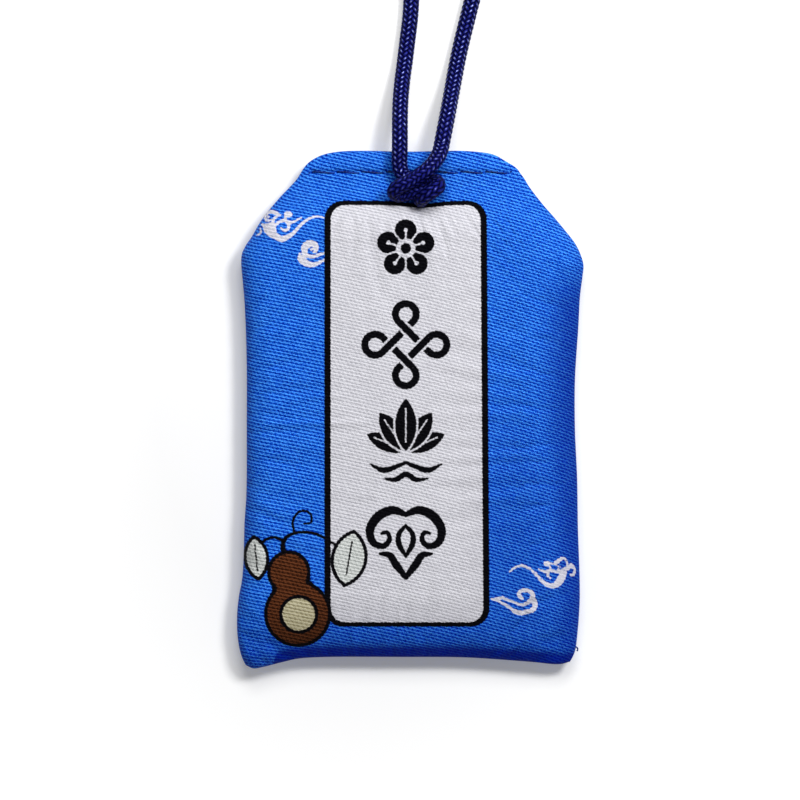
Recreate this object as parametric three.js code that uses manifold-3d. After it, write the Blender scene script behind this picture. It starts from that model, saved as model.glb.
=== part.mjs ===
// A cloth blessing amulet, lying flat on its back: a brocade pouch sewn round a foam pad, a card and
// a folded paper slip, with a loop of braided cord threaded through its front and half-knotted there.
// Millimetres. +Z is up and out of the front face, +Y runs from the bottom fold to the sewn mouth,
// and the origin is on the surface that the amulet lies on, under the middle of the pouch.
import * as THREE from "three";
import { mergeVertices } from "three/addons/utils/BufferGeometryUtils.js";
import Module from "manifold-3d";

const wasm = await Module();
wasm.setup();

// The pouch's outside
const pouchWidth = 40.2;
const pouchHeight = 60.8;
const pouchThickness = 5.2;
const mouthWidth = 20.8;
const shoulderDrop = 13.2;
const shoulderRound = 1.1;
const waistDraw = 0.6;
const crownRise = 0.5;
const sideRound = 2.4;
const bottomRound = 2.7;
const cornerRadius = 2.2;
const topCornerRadius = 1.4;
const seamHeightShare = 0.45;
const faceColumns = 14;
const faceRows = 20;
const slopeRows = 6;

// The cloth, its hem at the mouth and its side seams
const clothThickness = 0.45;
const layerGap = 0.1;
const hemDepth = 3.1;
const hemLift = 1.0;
const frontSlope = 6.3;
const backSlope = 2.8;
const seamAllowance = 2.0;
const foldReach = 3.0;

// What the pouch holds
const clearance = 0.3;
const cardThickness = 0.5;
const cardSideGap = 1.55;
const cardBase = 3.4;
const cardTopDrop = 10.4;
const cardCorner = 5;
const paperThickness = 0.12;
const slipSideGap = 2;
const slipTopDrop = 5;
const slipTurns = 3;
const sleeveWidth = 22;
const sleeveBase = 7;
const sleeveTopDrop = 15.8;
const paperGap = 0.1;
const padRound = 1.6;
const padTopDrop = 8.4;

// Sewing thread
const threadDiameter = 0.22;
const threadGap = 0.03;
const needleHole = 0.5;
const mouthStitchDrop = 2.35;
const mouthStitchCount = 8;
const seamStitch = 3;
const threadTail = 0.9;
const threadSides = 4;
const threadSlack = 0.15;

// The braided cord, and the axis that its loop folds about at the pouch's mouth
const cordDiameter = 1.7;
const cordSides = 8;
const cordHoleClearance = 0.15;
const knotSteps = 60;
const strandSteps = 40;
const tailSteps = 6;
const gapSamples = 400;
const passSpacing = 2.2;
const foldSplit = 0.3;
const foldReachOut = 1.0;
const foldRise = 1.3;

// The knot that ties the two free ends together, and the cut ends beyond it
const endKnotDiameter = 6.2;
const endKnotLength = 6.4;
const endKnotPlace = [6.45, 98.7];
const endKnotSides = 16;
const endKnotSteps = 6;

// The length by which a cutting block runs past what it cuts
const overrun = 1;

// Places that follow from the sizes above
const topY = pouchHeight / 2;
const bottomY = -topY;
const shoulderY = topY - shoulderDrop;
const hemLowY = topY - hemDepth;
const hemThickness = 4 * clothThickness + 3 * layerGap;
const hemTop = hemLift + hemThickness;
const hemMiddle = hemLift + hemThickness / 2;
const seamHeight = pouchThickness * seamHeightShare;
const stitchY = topY - mouthStitchDrop;
const wallX = pouchWidth / 2 - waistDraw - clothThickness;
const seamX = wallX - seamAllowance / 2;
const lipThickness = clothThickness + layerGap / 2;
const cardWidth = 2 * (wallX - seamAllowance - cardSideGap);
const cardHeight = pouchHeight - cardBase - cardTopDrop;
const cardZ = clothThickness + layerGap;
const sleeveHeight = pouchHeight - sleeveBase - sleeveTopDrop;
const slipWidth = sleeveWidth - 2 * slipSideGap;
const slipPanel = sleeveHeight - slipTopDrop;
const sleeveThickness = slipTurns * paperThickness + (slipTurns + 1) * paperGap + 2 * paperThickness;
const sleeveZ = cardZ + cardThickness + layerGap;
const tailY = bottomY + foldReach - needleHole;
const foldY = topY + foldReachOut;
const cordZ = hemTop + clearance + layerGap + cordDiameter / 2;
const foldZ = cordZ + foldRise;

// The cord's course on the pouch, from the left strand's fold, through the half knot, into one hole,
// across inside the pouch, out of the other hole and back through the knot to the right strand's fold
const knotRoute = [
  [-1.2, foldY - foldSplit / 2, cordZ],
  [-1.22, 29.9, cordZ],
  [-1.1, 28.6, cordZ],
  [-0.4, 27.75, cordZ],
  [0.9, 27.45, cordZ],
  [2.1, 27.4, 4.4],
  [2.95, 27.32, 4.75],
  [3.4, 26.95, 5.45],
  [3.2, 26.3, 6.15],
  [2.65, 25.65, 6.45],
  [2.0, 24.95, 6.45],
  [1.45, 24.25, 6.05],
  [1.15, 23.7, 5.25],
  [1.1, 23.45, 4.2],
  [1.25, 23.55, 3.15],
  [1.7, 24.05, 2.35],
  [2.4, 24.75, 2.1],
  [3.05, 25.25, 2.6],
  [3.3, 25.5, 3.65],
  [2.5, 25.5, 4.5],
  [1.0, 25.45, 4.6],
  [-0.4, 25.4, 4.6],
  [-1.2, 25.4, 4.75],
  [-1.75, 25.55, 5.3],
  [-1.7, 25.9, 5.95],
  [-1.15, 26.25, 6.35],
  [-0.3, 26.55, 6.45],
  [0.7, 27.0, 6.4],
  [1.6, 27.7, 6.35],
  [2.25, 28.5, 6.0],
  [2.7, 29.3, 5.4],
  [3.1, 30.2, 4.75],
  [3.45, foldY - foldSplit / 2, cordZ],
];

// The left strand, from the fold over the pouch's mouth down to the surface and on to the end knot
const leftRoute = [
  [-1.2, foldY + foldSplit / 2, cordZ],
  [-1.2, 32.9, 4.15],
  [-1.18, 34.7, 3.55],
  [-1.1, 36.6, 2.7],
  [-0.9, 38.8, 1.8],
  [-0.6, 41.1, 1.2],
  [-0.3, 43.6, 0.95],
  [0.0, 46.0, 0.9],
  [0.15, 48.2, 0.9],
  [0.2, 52.0, 0.9],
  [-0.3, 57.0, 0.9],
  [-1.2, 63.0, 0.9],
  [-2.3, 69.5, 0.9],
  [-2.7, 76.0, 0.9],
  [-1.8, 82.3, 0.9],
  [0.5, 87.8, 0.95],
  [3.1, 91.4, 1.5],
  [4.9, 93.2, 2.2],
  [5.4, 94.3, 2.5],
  [5.45, 95.4, 2.55],
];

// The right strand, which runs the same way and closes the loop
const rightRoute = [
  [3.5, foldY + foldSplit / 2, cordZ],
  [3.8, 32.8, 4.15],
  [4.2, 34.6, 3.55],
  [4.65, 36.5, 2.7],
  [5.1, 38.7, 1.8],
  [5.6, 41.1, 1.2],
  [6.15, 43.6, 0.95],
  [6.75, 46.0, 0.9],
  [7.3, 48.2, 0.9],
  [8.3, 52.0, 0.9],
  [9.7, 57.0, 0.9],
  [11.2, 63.0, 0.9],
  [12.6, 69.5, 0.9],
  [13.2, 76.0, 0.9],
  [12.7, 82.0, 0.9],
  [11.0, 87.6, 0.95],
  [9.1, 91.2, 1.5],
  [7.9, 93.1, 2.2],
  [7.5, 94.3, 2.5],
  [7.45, 95.4, 2.55],
];

// The two cut ends that stand out of the end knot
const leftTailRoute = [
  [5.45, 102.0, 2.5],
  [5.45, 102.6, 2.45],
  [5.3, 103.7, 2.0],
  [4.7, 105.3, 1.2],
  [3.6, 107.4, 0.9],
  [2.7, 108.9, 0.9],
];
const rightTailRoute = [
  [7.45, 102.0, 2.5],
  [7.45, 102.6, 2.45],
  [7.65, 103.7, 2.0],
  [8.5, 105.2, 1.2],
  [9.9, 106.9, 0.9],
  [11.2, 108.2, 0.9],
];

// Colours of the finishes
const blueCloth = new THREE.MeshStandardMaterial({ color: 0x2260d0, roughness: 0.75, metalness: 0 });
const navyCord = new THREE.MeshStandardMaterial({ color: 0x1c1f5c, roughness: 0.6, metalness: 0 });
const tealThread = new THREE.MeshStandardMaterial({ color: 0x14508c, roughness: 0.6, metalness: 0 });
const whiteFoam = new THREE.MeshStandardMaterial({ color: 0xf0efea, roughness: 0.95, metalness: 0 });
const greyCard = new THREE.MeshStandardMaterial({ color: 0x9a938a, roughness: 0.9, metalness: 0 });
const whitePaper = new THREE.MeshStandardMaterial({ color: 0xf5f1e6, roughness: 0.85, metalness: 0 });

// A smooth step from 0 to 1 as value goes from start to end
function step(value, start, end) {
  const t = Math.min(Math.max((value - start) / (end - start), 0), 1);
  return t * t * (3 - 2 * t);
}

// The smaller of two lengths, with the corner between them eased by round
function easedMinimum(a, b, round) {
  return (a + b - Math.hypot(a - b, round)) / 2;
}

// How far a quarter ellipse of the given reach has risen, from 0 to 1, at a distance from its edge
function edgeRise(distance, reach) {
  const t = 1 - Math.min(Math.max(distance / reach, 0), 1);
  return Math.sqrt(1 - t * t);
}

// How much a corner of the given radius takes off the side at a distance from the end
function cornerCut(distance, radius) {
  return radius - radius * edgeRise(distance, radius);
}

// How far a height is on the way from the padded body to the hem, at the front and at the back
const frontSlopeShare = (y) => step(y, hemLowY - frontSlope, hemLowY);
const backSlopeShare = (y) => step(y, hemLowY - backSlope, hemLowY);

// Half the pouch's width at a height, drawn in all round by inset
function halfWidth(y, inset) {
  const side = pouchWidth / 2 - waistDraw * (1 - (y / topY) ** 2) - inset;
  const lean = (pouchWidth - mouthWidth) / 2 / shoulderDrop;
  const slant = mouthWidth / 2 + (topY - y) * lean - inset * Math.hypot(1, lean);
  return easedMinimum(side, slant, shoulderRound);
}

// The heights of the pouch's front, back and seam line at a height up the pouch
const frontHeight = (y) => THREE.MathUtils.lerp(pouchThickness, hemTop, frontSlopeShare(y));
const backHeight = (y) => THREE.MathUtils.lerp(0, hemLift, backSlopeShare(y));
const seamLine = (y) => THREE.MathUtils.lerp(seamHeight, hemMiddle, frontSlopeShare(y));

// The heights of a cushion's rows: close together at both ends, and the same in every cushion over
// the slope, so that the sheets of two cushions run side by side there
function rowHeights(low, high, count) {
  const rows = [low, high];
  for (let k = 1; k < count; k++) {
    const y = low + ((high - low) * (1 - Math.cos((Math.PI * k) / count))) / 2;
    if (y < hemLowY - frontSlope || y > hemLowY) rows.push(y);
  }
  for (let k = 0; k <= slopeRows; k++) {
    const y = hemLowY - (frontSlope * k) / slopeRows;
    if (y < high - layerGap) rows.push(y);
  }
  return rows.sort((a, b) => a - b);
}

// A cushion with the pouch's outline: a front sheet and a back sheet that meet in an edge all round
function cushion({ inset, low, high, front, back, side, lowRound, highRound, corner, topCorner }) {
  const positions = [];
  const indices = [];
  const heights = rowHeights(low, high, faceRows);
  const rows = heights.length - 1;
  const sheet = (isFront) => {
    const first = positions.length / 3;
    for (let j = 0; j <= rows; j++) {
      const y = heights[j];
      const cut = cornerCut(y - low, corner) + cornerCut(high - y, topCorner);
      const width = halfWidth(y, inset) - cut;
      const ends = edgeRise(y - low, lowRound) * edgeRise(high - y, highRound);
      for (let i = 0; i <= faceColumns; i++) {
        const across = Math.sin((Math.PI / 2) * ((2 * i) / faceColumns - 1));
        const rise = i % faceColumns ? edgeRise(width * (1 - Math.abs(across)), side) * ends : 0;
        const seam = seamLine(y);
        const face = isFront ? front(y) - crownRise * across * across : back(y);
        positions.push(width * across, y, seam + (face - seam) * (j % rows ? rise : 0));
      }
    }
    for (let j = 0; j < rows; j++)
      for (let i = 0; i < faceColumns; i++) {
        const a = first + j * (faceColumns + 1) + i;
        const c = a + faceColumns + 1;
        if (isFront) indices.push(a, a + 1, c + 1, a, c + 1, c);
        else indices.push(a, c + 1, a + 1, a, c, c + 1);
      }
  };
  sheet(true);
  sheet(false);
  const geometry = new THREE.BufferGeometry();
  geometry.setAttribute("position", new THREE.Float32BufferAttribute(positions, 3));
  geometry.setIndex(indices);
  return mergeVertices(geometry);
}

// The smooth line through a cord's points
function cordLine(points) {
  const places = points.map((p) => new THREE.Vector3(...p));
  return new THREE.CatmullRomCurve3(places, false, "centripetal");
}

// The line through a thread's points, which runs all but straight from one to the next
function threadLine(points) {
  const places = points.map((p) => new THREE.Vector3(...p));
  return new THREE.CatmullRomCurve3(places, false, "catmullrom", threadSlack);
}

// A round tube along a line
function tube(line, diameter, sides, steps) {
  const corners = Array.from({ length: sides }, (_, i) => {
    const turn = (2 * Math.PI * i) / sides;
    return new THREE.Vector2(Math.cos(turn), Math.sin(turn)).multiplyScalar(diameter / 2);
  });
  const section = new THREE.Shape(corners);
  return new THREE.ExtrudeGeometry(section, { steps, bevelEnabled: false, extrudePath: line });
}

// The least gap between passes of a tube over itself, measured between points of its centreline
function leastGap(line, diameter, samples) {
  const points = line.getSpacedPoints(samples);
  const apart = Math.ceil((passSpacing * diameter * samples) / line.getLength());
  let least = Infinity;
  for (let i = 0; i <= samples; i++)
    for (let j = i + apart; j <= samples; j++) least = Math.min(least, points[i].distanceTo(points[j]));
  return least - diameter;
}

// A block between two corners
function block(low, high) {
  const size = high.map((value, k) => value - low[k]);
  const middle = high.map((value, k) => (value + low[k]) / 2);
  return new THREE.BoxGeometry(...size).translate(...middle);
}

// A closed geometry as a solid that can be cut
function solidOf(geometry) {
  const bare = new THREE.BufferGeometry();
  bare.setAttribute("position", geometry.getAttribute("position").clone());
  if (geometry.index) bare.setIndex(geometry.index.clone());
  const merged = mergeVertices(bare);
  return new wasm.Manifold(
    new wasm.Mesh({
      numProp: 3,
      vertProperties: new Float32Array(merged.attributes.position.array),
      triVerts: new Uint32Array(merged.index.array),
    }),
  );
}

// A cut solid as a geometry again
function geometryOf(solid) {
  const mesh = solid.getMesh();
  const geometry = new THREE.BufferGeometry();
  geometry.setAttribute("position", new THREE.BufferAttribute(new Float32Array(mesh.vertProperties), 3));
  geometry.setIndex(new THREE.BufferAttribute(new Uint32Array(mesh.triVerts), 1));
  geometry.computeVertexNormals();
  return geometry;
}

// A named piece
function piece(name, geometry, material) {
  const mesh = new THREE.Mesh(geometry, material);
  mesh.name = name;
  return mesh;
}

// The places along the mouth where the needle went through
function mouthNeedlePlaces() {
  const reach = halfWidth(stitchY, 0) - 2 * clothThickness;
  return Array.from({ length: mouthStitchCount + 1 }, (_, i) => reach * ((2 * i) / mouthStitchCount - 1));
}

// The places up a side seam where the needle went through
function seamNeedlePlaces() {
  const low = bottomY + foldReach + seamStitch / 2;
  const high = shoulderY - seamStitch / 2;
  const count = Math.floor((high - low) / seamStitch);
  return Array.from({ length: count + 1 }, (_, i) => low + ((high - low) * i) / count);
}

// The hollow inside the cloth, with the two turned-in lips of each side seam left standing in it
function pouchHollow() {
  let hollow = solidOf(
    cushion({
      inset: clothThickness,
      low: bottomY + clothThickness,
      high: hemLowY,
      front: (y) => frontHeight(y) - clothThickness,
      back: (y) => backHeight(y) + clothThickness,
      side: sideRound,
      lowRound: bottomRound,
      highRound: clothThickness,
      corner: cornerRadius,
      topCorner: topCornerRadius,
    }),
  );
  for (const side of [-1, 1]) {
    const inner = side * (wallX - seamAllowance);
    const outer = side * (pouchWidth / 2);
    const lips = block(
      [Math.min(inner, outer), bottomY + foldReach, seamHeight - lipThickness],
      [Math.max(inner, outer), shoulderY, seamHeight + lipThickness],
    );
    hollow = hollow.subtract(solidOf(lips));
  }
  return hollow;
}

// The narrow gaps between the cloth's layers: the side seams, the mouth and its two turned-in hems
function layerGaps() {
  const gaps = [];
  for (const side of [-1, 1]) {
    const inner = side * (wallX - seamAllowance - overrun);
    const outer = side * (pouchWidth / 2 + overrun);
    gaps.push(
      block(
        [Math.min(inner, outer), bottomY + foldReach, seamHeight - layerGap / 2],
        [Math.max(inner, outer), shoulderY, seamHeight + layerGap / 2],
      ),
    );
  }
  const mouthHalf = mouthWidth / 2 - topCornerRadius;
  const low = hemLowY - clothThickness;
  gaps.push(
    block(
      [-mouthHalf, low, hemMiddle - layerGap / 2],
      [mouthHalf, topY + overrun, hemMiddle + layerGap / 2],
    ),
  );
  for (const level of [hemLift + clothThickness, hemTop - clothThickness - layerGap])
    gaps.push(block([-mouthHalf, low, level], [mouthHalf, topY - clothThickness, level + layerGap]));
  return gaps;
}

// The needle holes of the mouth and side seams, and the way out for the loose thread end
function needleHoles() {
  const half = needleHole / 2;
  const holes = mouthNeedlePlaces().map((x) =>
    block(
      [x - 2 * half, stitchY - half, hemLift - overrun],
      [x + 2 * half, stitchY + half, hemTop + overrun],
    ),
  );
  const reach = lipThickness + threadDiameter;
  for (const side of [-1, 1])
    for (const y of seamNeedlePlaces())
      holes.push(
        block(
          [side * seamX - half, y - 2 * half, seamHeight - reach],
          [side * seamX + half, y + 2 * half, seamHeight + reach],
        ),
      );
  holes.push(
    block(
      [wallX - half, tailY - half, seamHeight - half],
      [wallX + 2 * overrun, tailY + half, seamHeight + half],
    ),
  );
  return holes;
}

// The pouch: one strip of brocade folded at the bottom, seamed at both sides and hemmed at the mouth
function pouchCloth() {
  let cloth = solidOf(
    cushion({
      inset: 0,
      low: bottomY,
      high: topY,
      front: frontHeight,
      back: backHeight,
      side: sideRound,
      lowRound: bottomRound,
      highRound: hemThickness / 2,
      corner: cornerRadius,
      topCorner: topCornerRadius,
    }),
  );
  cloth = cloth.subtract(pouchHollow());
  for (const gap of layerGaps()) cloth = cloth.subtract(solidOf(gap));
  for (const hole of needleHoles()) cloth = cloth.subtract(solidOf(hole));
  const cordHole = tube(cordLine(knotRoute), cordDiameter + 2 * cordHoleClearance, cordSides, knotSteps);
  cloth = cloth.subtract(solidOf(cordHole));
  return piece("pouch_cloth", geometryOf(cloth), blueCloth);
}

// The foam pad that fills out the front, hollowed underneath for the paper sleeve
function foamPad() {
  const inset = pouchWidth / 2 - wallX + seamAllowance + clearance;
  const base = sleeveZ;
  let pad = solidOf(
    cushion({
      inset,
      low: bottomY + clothThickness + foldReach,
      high: topY - padTopDrop,
      front: (y) => frontHeight(y) - clothThickness - clearance,
      back: () => base,
      side: padRound,
      lowRound: padRound,
      highRound: padRound,
      corner: cornerRadius,
      topCorner: topCornerRadius,
    }),
  );
  const half = sleeveWidth / 2 + clearance;
  const low = bottomY + sleeveBase;
  const pocket = block(
    [-half, low - clearance, base - overrun],
    [half, low + sleeveHeight + clearance, base + sleeveThickness + layerGap],
  );
  pad = pad.subtract(solidOf(pocket));
  return piece("foam_pad", geometryOf(pad), whiteFoam);
}

// The card that keeps the back flat, with its upper corners cut off to clear the shoulders
function stiffenerCard() {
  const half = cardWidth / 2;
  const outline = new THREE.Shape([
    new THREE.Vector2(-half, 0),
    new THREE.Vector2(half, 0),
    new THREE.Vector2(half, cardHeight - cardCorner),
    new THREE.Vector2(half - cardCorner, cardHeight),
    new THREE.Vector2(cardCorner - half, cardHeight),
    new THREE.Vector2(-half, cardHeight - cardCorner),
  ]);
  const geometry = new THREE.ExtrudeGeometry(outline, { depth: cardThickness, bevelEnabled: false });
  const card = piece("stiffener_card", geometry, greyCard);
  card.position.set(0, bottomY + cardBase, cardZ);
  return card;
}

// The paper sleeve, open towards the mouth
function paperSleeve() {
  const half = sleeveWidth / 2;
  const outside = solidOf(block([-half, 0, 0], [half, sleeveHeight, sleeveThickness]));
  const inside = solidOf(
    block(
      [paperThickness - half, paperThickness, paperThickness],
      [half - paperThickness, sleeveHeight + overrun, sleeveThickness - paperThickness],
    ),
  );
  const sleeve = piece("paper_sleeve", geometryOf(outside.subtract(inside)), whitePaper);
  sleeve.position.set(0, bottomY + sleeveBase, sleeveZ);
  return sleeve;
}

// The blessing slip: one strip of paper folded to and fro into panels
function blessingSlip() {
  const pitch = paperThickness + paperGap;
  const end = slipPanel - paperThickness;
  const there = [];
  const back = [];
  for (let k = 0; k < slipTurns; k++) {
    const floor = k * pitch;
    const ceiling = floor + paperThickness;
    const right = k % 2 === 0;
    const last = k === slipTurns - 1;
    const first = k === 0;
    const turnsOut = right ? slipPanel : 0;
    const turnsIn = right ? end : paperThickness;
    const startsOut = right ? 0 : slipPanel;
    const startsIn = right ? paperThickness : end;
    const outer = right ? there : back;
    const inner = right ? back : there;
    outer.push([first ? startsOut : startsIn, floor], [turnsOut, floor]);
    inner.push([startsOut, ceiling], [last ? turnsOut : turnsIn, ceiling]);
  }
  const outline = new THREE.Shape([...there, ...back.reverse()].map((p) => new THREE.Vector2(...p)));
  const geometry = new THREE.ExtrudeGeometry(outline, { depth: slipWidth, bevelEnabled: false });
  geometry.rotateX(Math.PI / 2).rotateZ(Math.PI / 2);
  const slip = piece("blessing_slip", geometry, whitePaper);
  slip.position.set(-slipWidth / 2, bottomY + sleeveBase + paperThickness + clearance, sleeveZ + pitch);
  return slip;
}

// A thread that lies along one face of the mouth's hem and dips into each needle hole
function mouthThread(name, face, direction) {
  const high = face + direction * (threadDiameter / 2 + threadGap);
  const deep = hemMiddle + direction * (threadDiameter / 2 + layerGap / 2);
  const lead = needleHole / 2;
  const points = mouthNeedlePlaces().flatMap((x) => [
    [x - lead, stitchY, high],
    [x, stitchY, deep],
    [x + lead, stitchY, high],
  ]);
  return piece(name, tube(threadLine(points), threadDiameter, threadSides, 3 * points.length), tealThread);
}

// The running thread of a side seam, which passes up and down through both turned-in lips
function seamThread(name, side, tail) {
  const rise = lipThickness + threadDiameter / 2 + threadGap;
  const lead = needleHole / 4;
  const points = seamNeedlePlaces().flatMap((y, i) => {
    const before = i % 2 ? rise : -rise;
    return [
      [side * seamX, y - lead, seamHeight + before],
      [side * seamX, y + lead, seamHeight - before],
    ];
  });
  if (tail) {
    const outside = -2 * threadDiameter;
    points.unshift(
      [side * halfWidth(tailY - tail, outside), tailY - tail, seamHeight],
      [side * halfWidth(tailY, outside), tailY, seamHeight],
      [side * halfWidth(tailY, clothThickness), tailY, seamHeight],
      [side * (wallX - clothThickness), tailY, seamHeight - threadDiameter],
      [side * seamX, tailY + lead, seamHeight - rise],
    );
  }
  return piece(name, tube(threadLine(points), threadDiameter, threadSides, 4 * points.length), tealThread);
}

// The knot that joins the two cord ends, as a plain barrel lying on the surface
function endKnot() {
  const radius = endKnotDiameter / 2;
  const half = endKnotLength / 2;
  const profile = [new THREE.Vector2(0, -half)];
  for (let k = 0; k <= endKnotSteps; k++) {
    const turn = Math.PI * (k / endKnotSteps - 1 / 2);
    const flatRadius = radius - cordDiameter / 2;
    profile.push(
      new THREE.Vector2(flatRadius + (cordDiameter / 2) * Math.cos(turn), half * Math.sin(turn)),
    );
  }
  profile.push(new THREE.Vector2(0, half));
  const knot = piece("end_knot", new THREE.LatheGeometry(profile, endKnotSides), navyCord);
  knot.position.set(...endKnotPlace, radius);
  return knot;
}

// The loop of cord, in a group of its own whose origin is on the fold axis
function hangingLoop() {
  const loop = new THREE.Group();
  loop.position.set(0, foldY, foldZ);
  const strand = (name, route, steps) =>
    piece(name, tube(cordLine(route), cordDiameter, cordSides, steps).translate(0, -foldY, -foldZ), navyCord);
  loop.add(strand("left_strand", leftRoute, strandSteps));
  loop.add(strand("right_strand", rightRoute, strandSteps));
  loop.add(strand("left_cord_tail", leftTailRoute, tailSteps));
  loop.add(strand("right_cord_tail", rightTailRoute, tailSteps));
  const knot = endKnot();
  knot.position.sub(loop.position);
  loop.add(knot);
  return loop;
}

const pouch = new THREE.Group();
pouch.add(pouchCloth(), foamPad(), stiffenerCard(), paperSleeve(), blessingSlip());
pouch.add(mouthThread("mouth_needle_thread", hemTop, 1), mouthThread("mouth_bobbin_thread", hemLift, -1));
pouch.add(seamThread("left_seam_thread", -1, 0), seamThread("right_seam_thread", 1, threadTail));
pouch.add(piece("cord_knot", tube(cordLine(knotRoute), cordDiameter, cordSides, knotSteps), navyCord));
const knotGap = leastGap(cordLine(knotRoute), cordDiameter, gapSamples);
console.log("least gap in the knot: " + knotGap.toFixed(2) + " mm");

const amulet = new THREE.Group();
amulet.add(pouch, hangingLoop());

export default amulet;
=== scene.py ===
import math

import bpy
import numpy as np
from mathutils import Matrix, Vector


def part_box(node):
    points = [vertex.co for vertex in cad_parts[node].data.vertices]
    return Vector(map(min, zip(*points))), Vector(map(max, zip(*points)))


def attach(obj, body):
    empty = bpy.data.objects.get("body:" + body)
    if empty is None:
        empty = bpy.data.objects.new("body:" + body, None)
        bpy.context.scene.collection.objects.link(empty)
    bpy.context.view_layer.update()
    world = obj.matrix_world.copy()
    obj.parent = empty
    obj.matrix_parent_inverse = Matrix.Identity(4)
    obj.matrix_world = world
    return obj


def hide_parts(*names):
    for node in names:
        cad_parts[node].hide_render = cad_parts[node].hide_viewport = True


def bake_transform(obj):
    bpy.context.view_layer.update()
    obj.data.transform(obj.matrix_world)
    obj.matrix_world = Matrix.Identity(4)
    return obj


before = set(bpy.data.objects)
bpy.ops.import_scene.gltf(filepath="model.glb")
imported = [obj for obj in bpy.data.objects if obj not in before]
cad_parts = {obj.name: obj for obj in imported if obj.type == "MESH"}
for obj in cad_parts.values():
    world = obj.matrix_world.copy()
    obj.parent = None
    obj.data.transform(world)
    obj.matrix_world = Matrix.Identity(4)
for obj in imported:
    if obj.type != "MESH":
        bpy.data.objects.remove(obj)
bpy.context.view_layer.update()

# The camera. It looks straight down on the amulet, with the mouth of the pouch upwards, and the
# picture's upper edge cuts the loop of cord. Sizes are in millimetres, which MM turns into metres.
MM = 0.001
picture_middle = (-1.18, 1.12)
picture_width = 94.12
focus_height = 3.0
camera_rise = 600.0
sensor_width = 36.0

camera_data = bpy.data.cameras.new("camera")
camera_data.sensor_width = sensor_width
camera_data.lens = sensor_width * camera_rise / picture_width
camera = bpy.data.objects.new("camera", camera_data)
camera.location = (picture_middle[0] * MM, picture_middle[1] * MM, (focus_height + camera_rise) * MM)
bpy.context.scene.collection.objects.link(camera)
bpy.context.scene.camera = camera


# The cord's line. One length of braided cord runs from the end knot down the left strand, over the
# mouth into the half knot, in and out of the front of the pouch, and back up the right strand.
cord_diameter = 1.7
ring_step = 0.08
left_route = [
    (-1.2, 31.55, 4.35), (-1.2, 32.9, 4.15), (-1.18, 34.7, 3.55), (-1.1, 36.6, 2.7),
    (-0.9, 38.8, 1.8), (-0.6, 41.1, 1.2), (-0.3, 43.6, 1.02), (0.0, 46.0, 0.98),
    (0.15, 48.2, 0.98), (0.2, 52.0, 0.98), (-0.3, 57.0, 0.98), (-1.2, 63.0, 0.98),
    (-2.3, 69.5, 0.98), (-2.7, 76.0, 0.98), (-1.8, 82.3, 0.98), (0.5, 87.8, 1.02),
    (3.1, 91.4, 1.5), (4.9, 93.2, 2.2), (5.4, 94.3, 2.5), (5.45, 95.4, 2.55),
]
knot_route = [
    (-1.2, 31.25, 4.35), (-1.22, 29.9, 4.35), (-1.22, 28.7, 4.3), (-0.85, 27.6, 4.3),
    (0.1, 27.0, 4.3), (1.2, 26.85, 4.3), (2.2, 26.85, 4.45), (2.95, 26.75, 4.85),
    (3.3, 26.45, 5.45), (3.2, 26.05, 6.0), (2.8, 25.7, 6.25), (2.25, 25.35, 6.25),
    (1.7, 25.0, 5.9), (1.35, 24.75, 5.2), (1.25, 24.65, 4.2), (1.35, 24.7, 3.15),
    (1.65, 24.9, 2.4), (2.05, 25.25, 2.15), (2.4, 25.6, 2.5), (2.5, 25.8, 3.5),
    (2.0, 25.8, 4.35), (1.0, 25.65, 4.55), (-0.4, 25.35, 4.6), (-1.2, 25.2, 4.75),
    (-1.78, 25.35, 5.3), (-1.75, 25.75, 5.95), (-1.15, 26.2, 6.35), (-0.3, 26.55, 6.45),
    (0.65, 27.1, 6.4), (1.65, 27.8, 6.35), (2.45, 28.5, 6.0), (3.05, 29.3, 5.4),
    (3.5, 30.2, 4.8), (3.75, 31.25, 4.35),
]
right_route = [
    (3.8, 31.55, 4.35), (4.05, 32.8, 4.15), (4.4, 34.6, 3.55), (4.75, 36.5, 2.7),
    (5.15, 38.7, 1.8), (5.6, 41.1, 1.2), (6.15, 43.6, 1.02), (6.75, 46.0, 0.98),
    (7.3, 48.2, 0.98), (8.3, 52.0, 0.98), (9.7, 57.0, 0.98), (11.2, 63.0, 0.98),
    (12.6, 69.5, 0.98), (13.2, 76.0, 0.98), (12.7, 82.0, 0.98), (11.0, 87.6, 1.02),
    (9.1, 91.2, 1.5), (7.9, 93.1, 2.2), (7.5, 94.3, 2.5), (7.45, 95.4, 2.55),
]
fold_bottom = 29.9
line_samples = 30


def between(first, second, start, end, time):
    """The point on the straight line that is at first at the start time and at second at the end."""
    return ((end - time) * first + (time - start) * second) / (end - start)


def line_through(places, step):
    """A smooth line through the places, cut into even steps.

    It is the centripetal Catmull-Rom curve: between two places it blends straight lines through the
    four nearest ones, and the time from place to place is the square root of their distance.
    """
    places = np.asarray(places, float)
    before, after = 2 * places[0] - places[1], 2 * places[-1] - places[-2]
    places = np.concatenate([[before], places, [after]])
    share = np.arange(line_samples)[:, None] / line_samples
    parts = []
    for k in range(len(places) - 3):
        a, b, c, d = places[k : k + 4]
        gaps = np.sqrt(np.linalg.norm(np.diff(places[k : k + 4], axis=0), axis=1))
        ta, tb, tc, td = np.cumsum([0, *gaps])
        t = tb + share * (tc - tb)
        ab = between(a, b, ta, tb, t)
        bc = between(b, c, tb, tc, t)
        cd = between(c, d, tc, td, t)
        parts.append(between(between(ab, bc, ta, tc, t), between(bc, cd, tb, td, t), tb, tc, t))
    line = np.concatenate([*parts, places[-2:-1]])
    length = np.concatenate([[0], np.cumsum(np.linalg.norm(np.diff(line, axis=0), axis=1))])
    even = np.linspace(0, length[-1], int(length[-1] / step) + 1)
    return np.stack([np.interp(even, length, line[:, k]) for k in range(line.shape[1])], axis=1)


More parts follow.
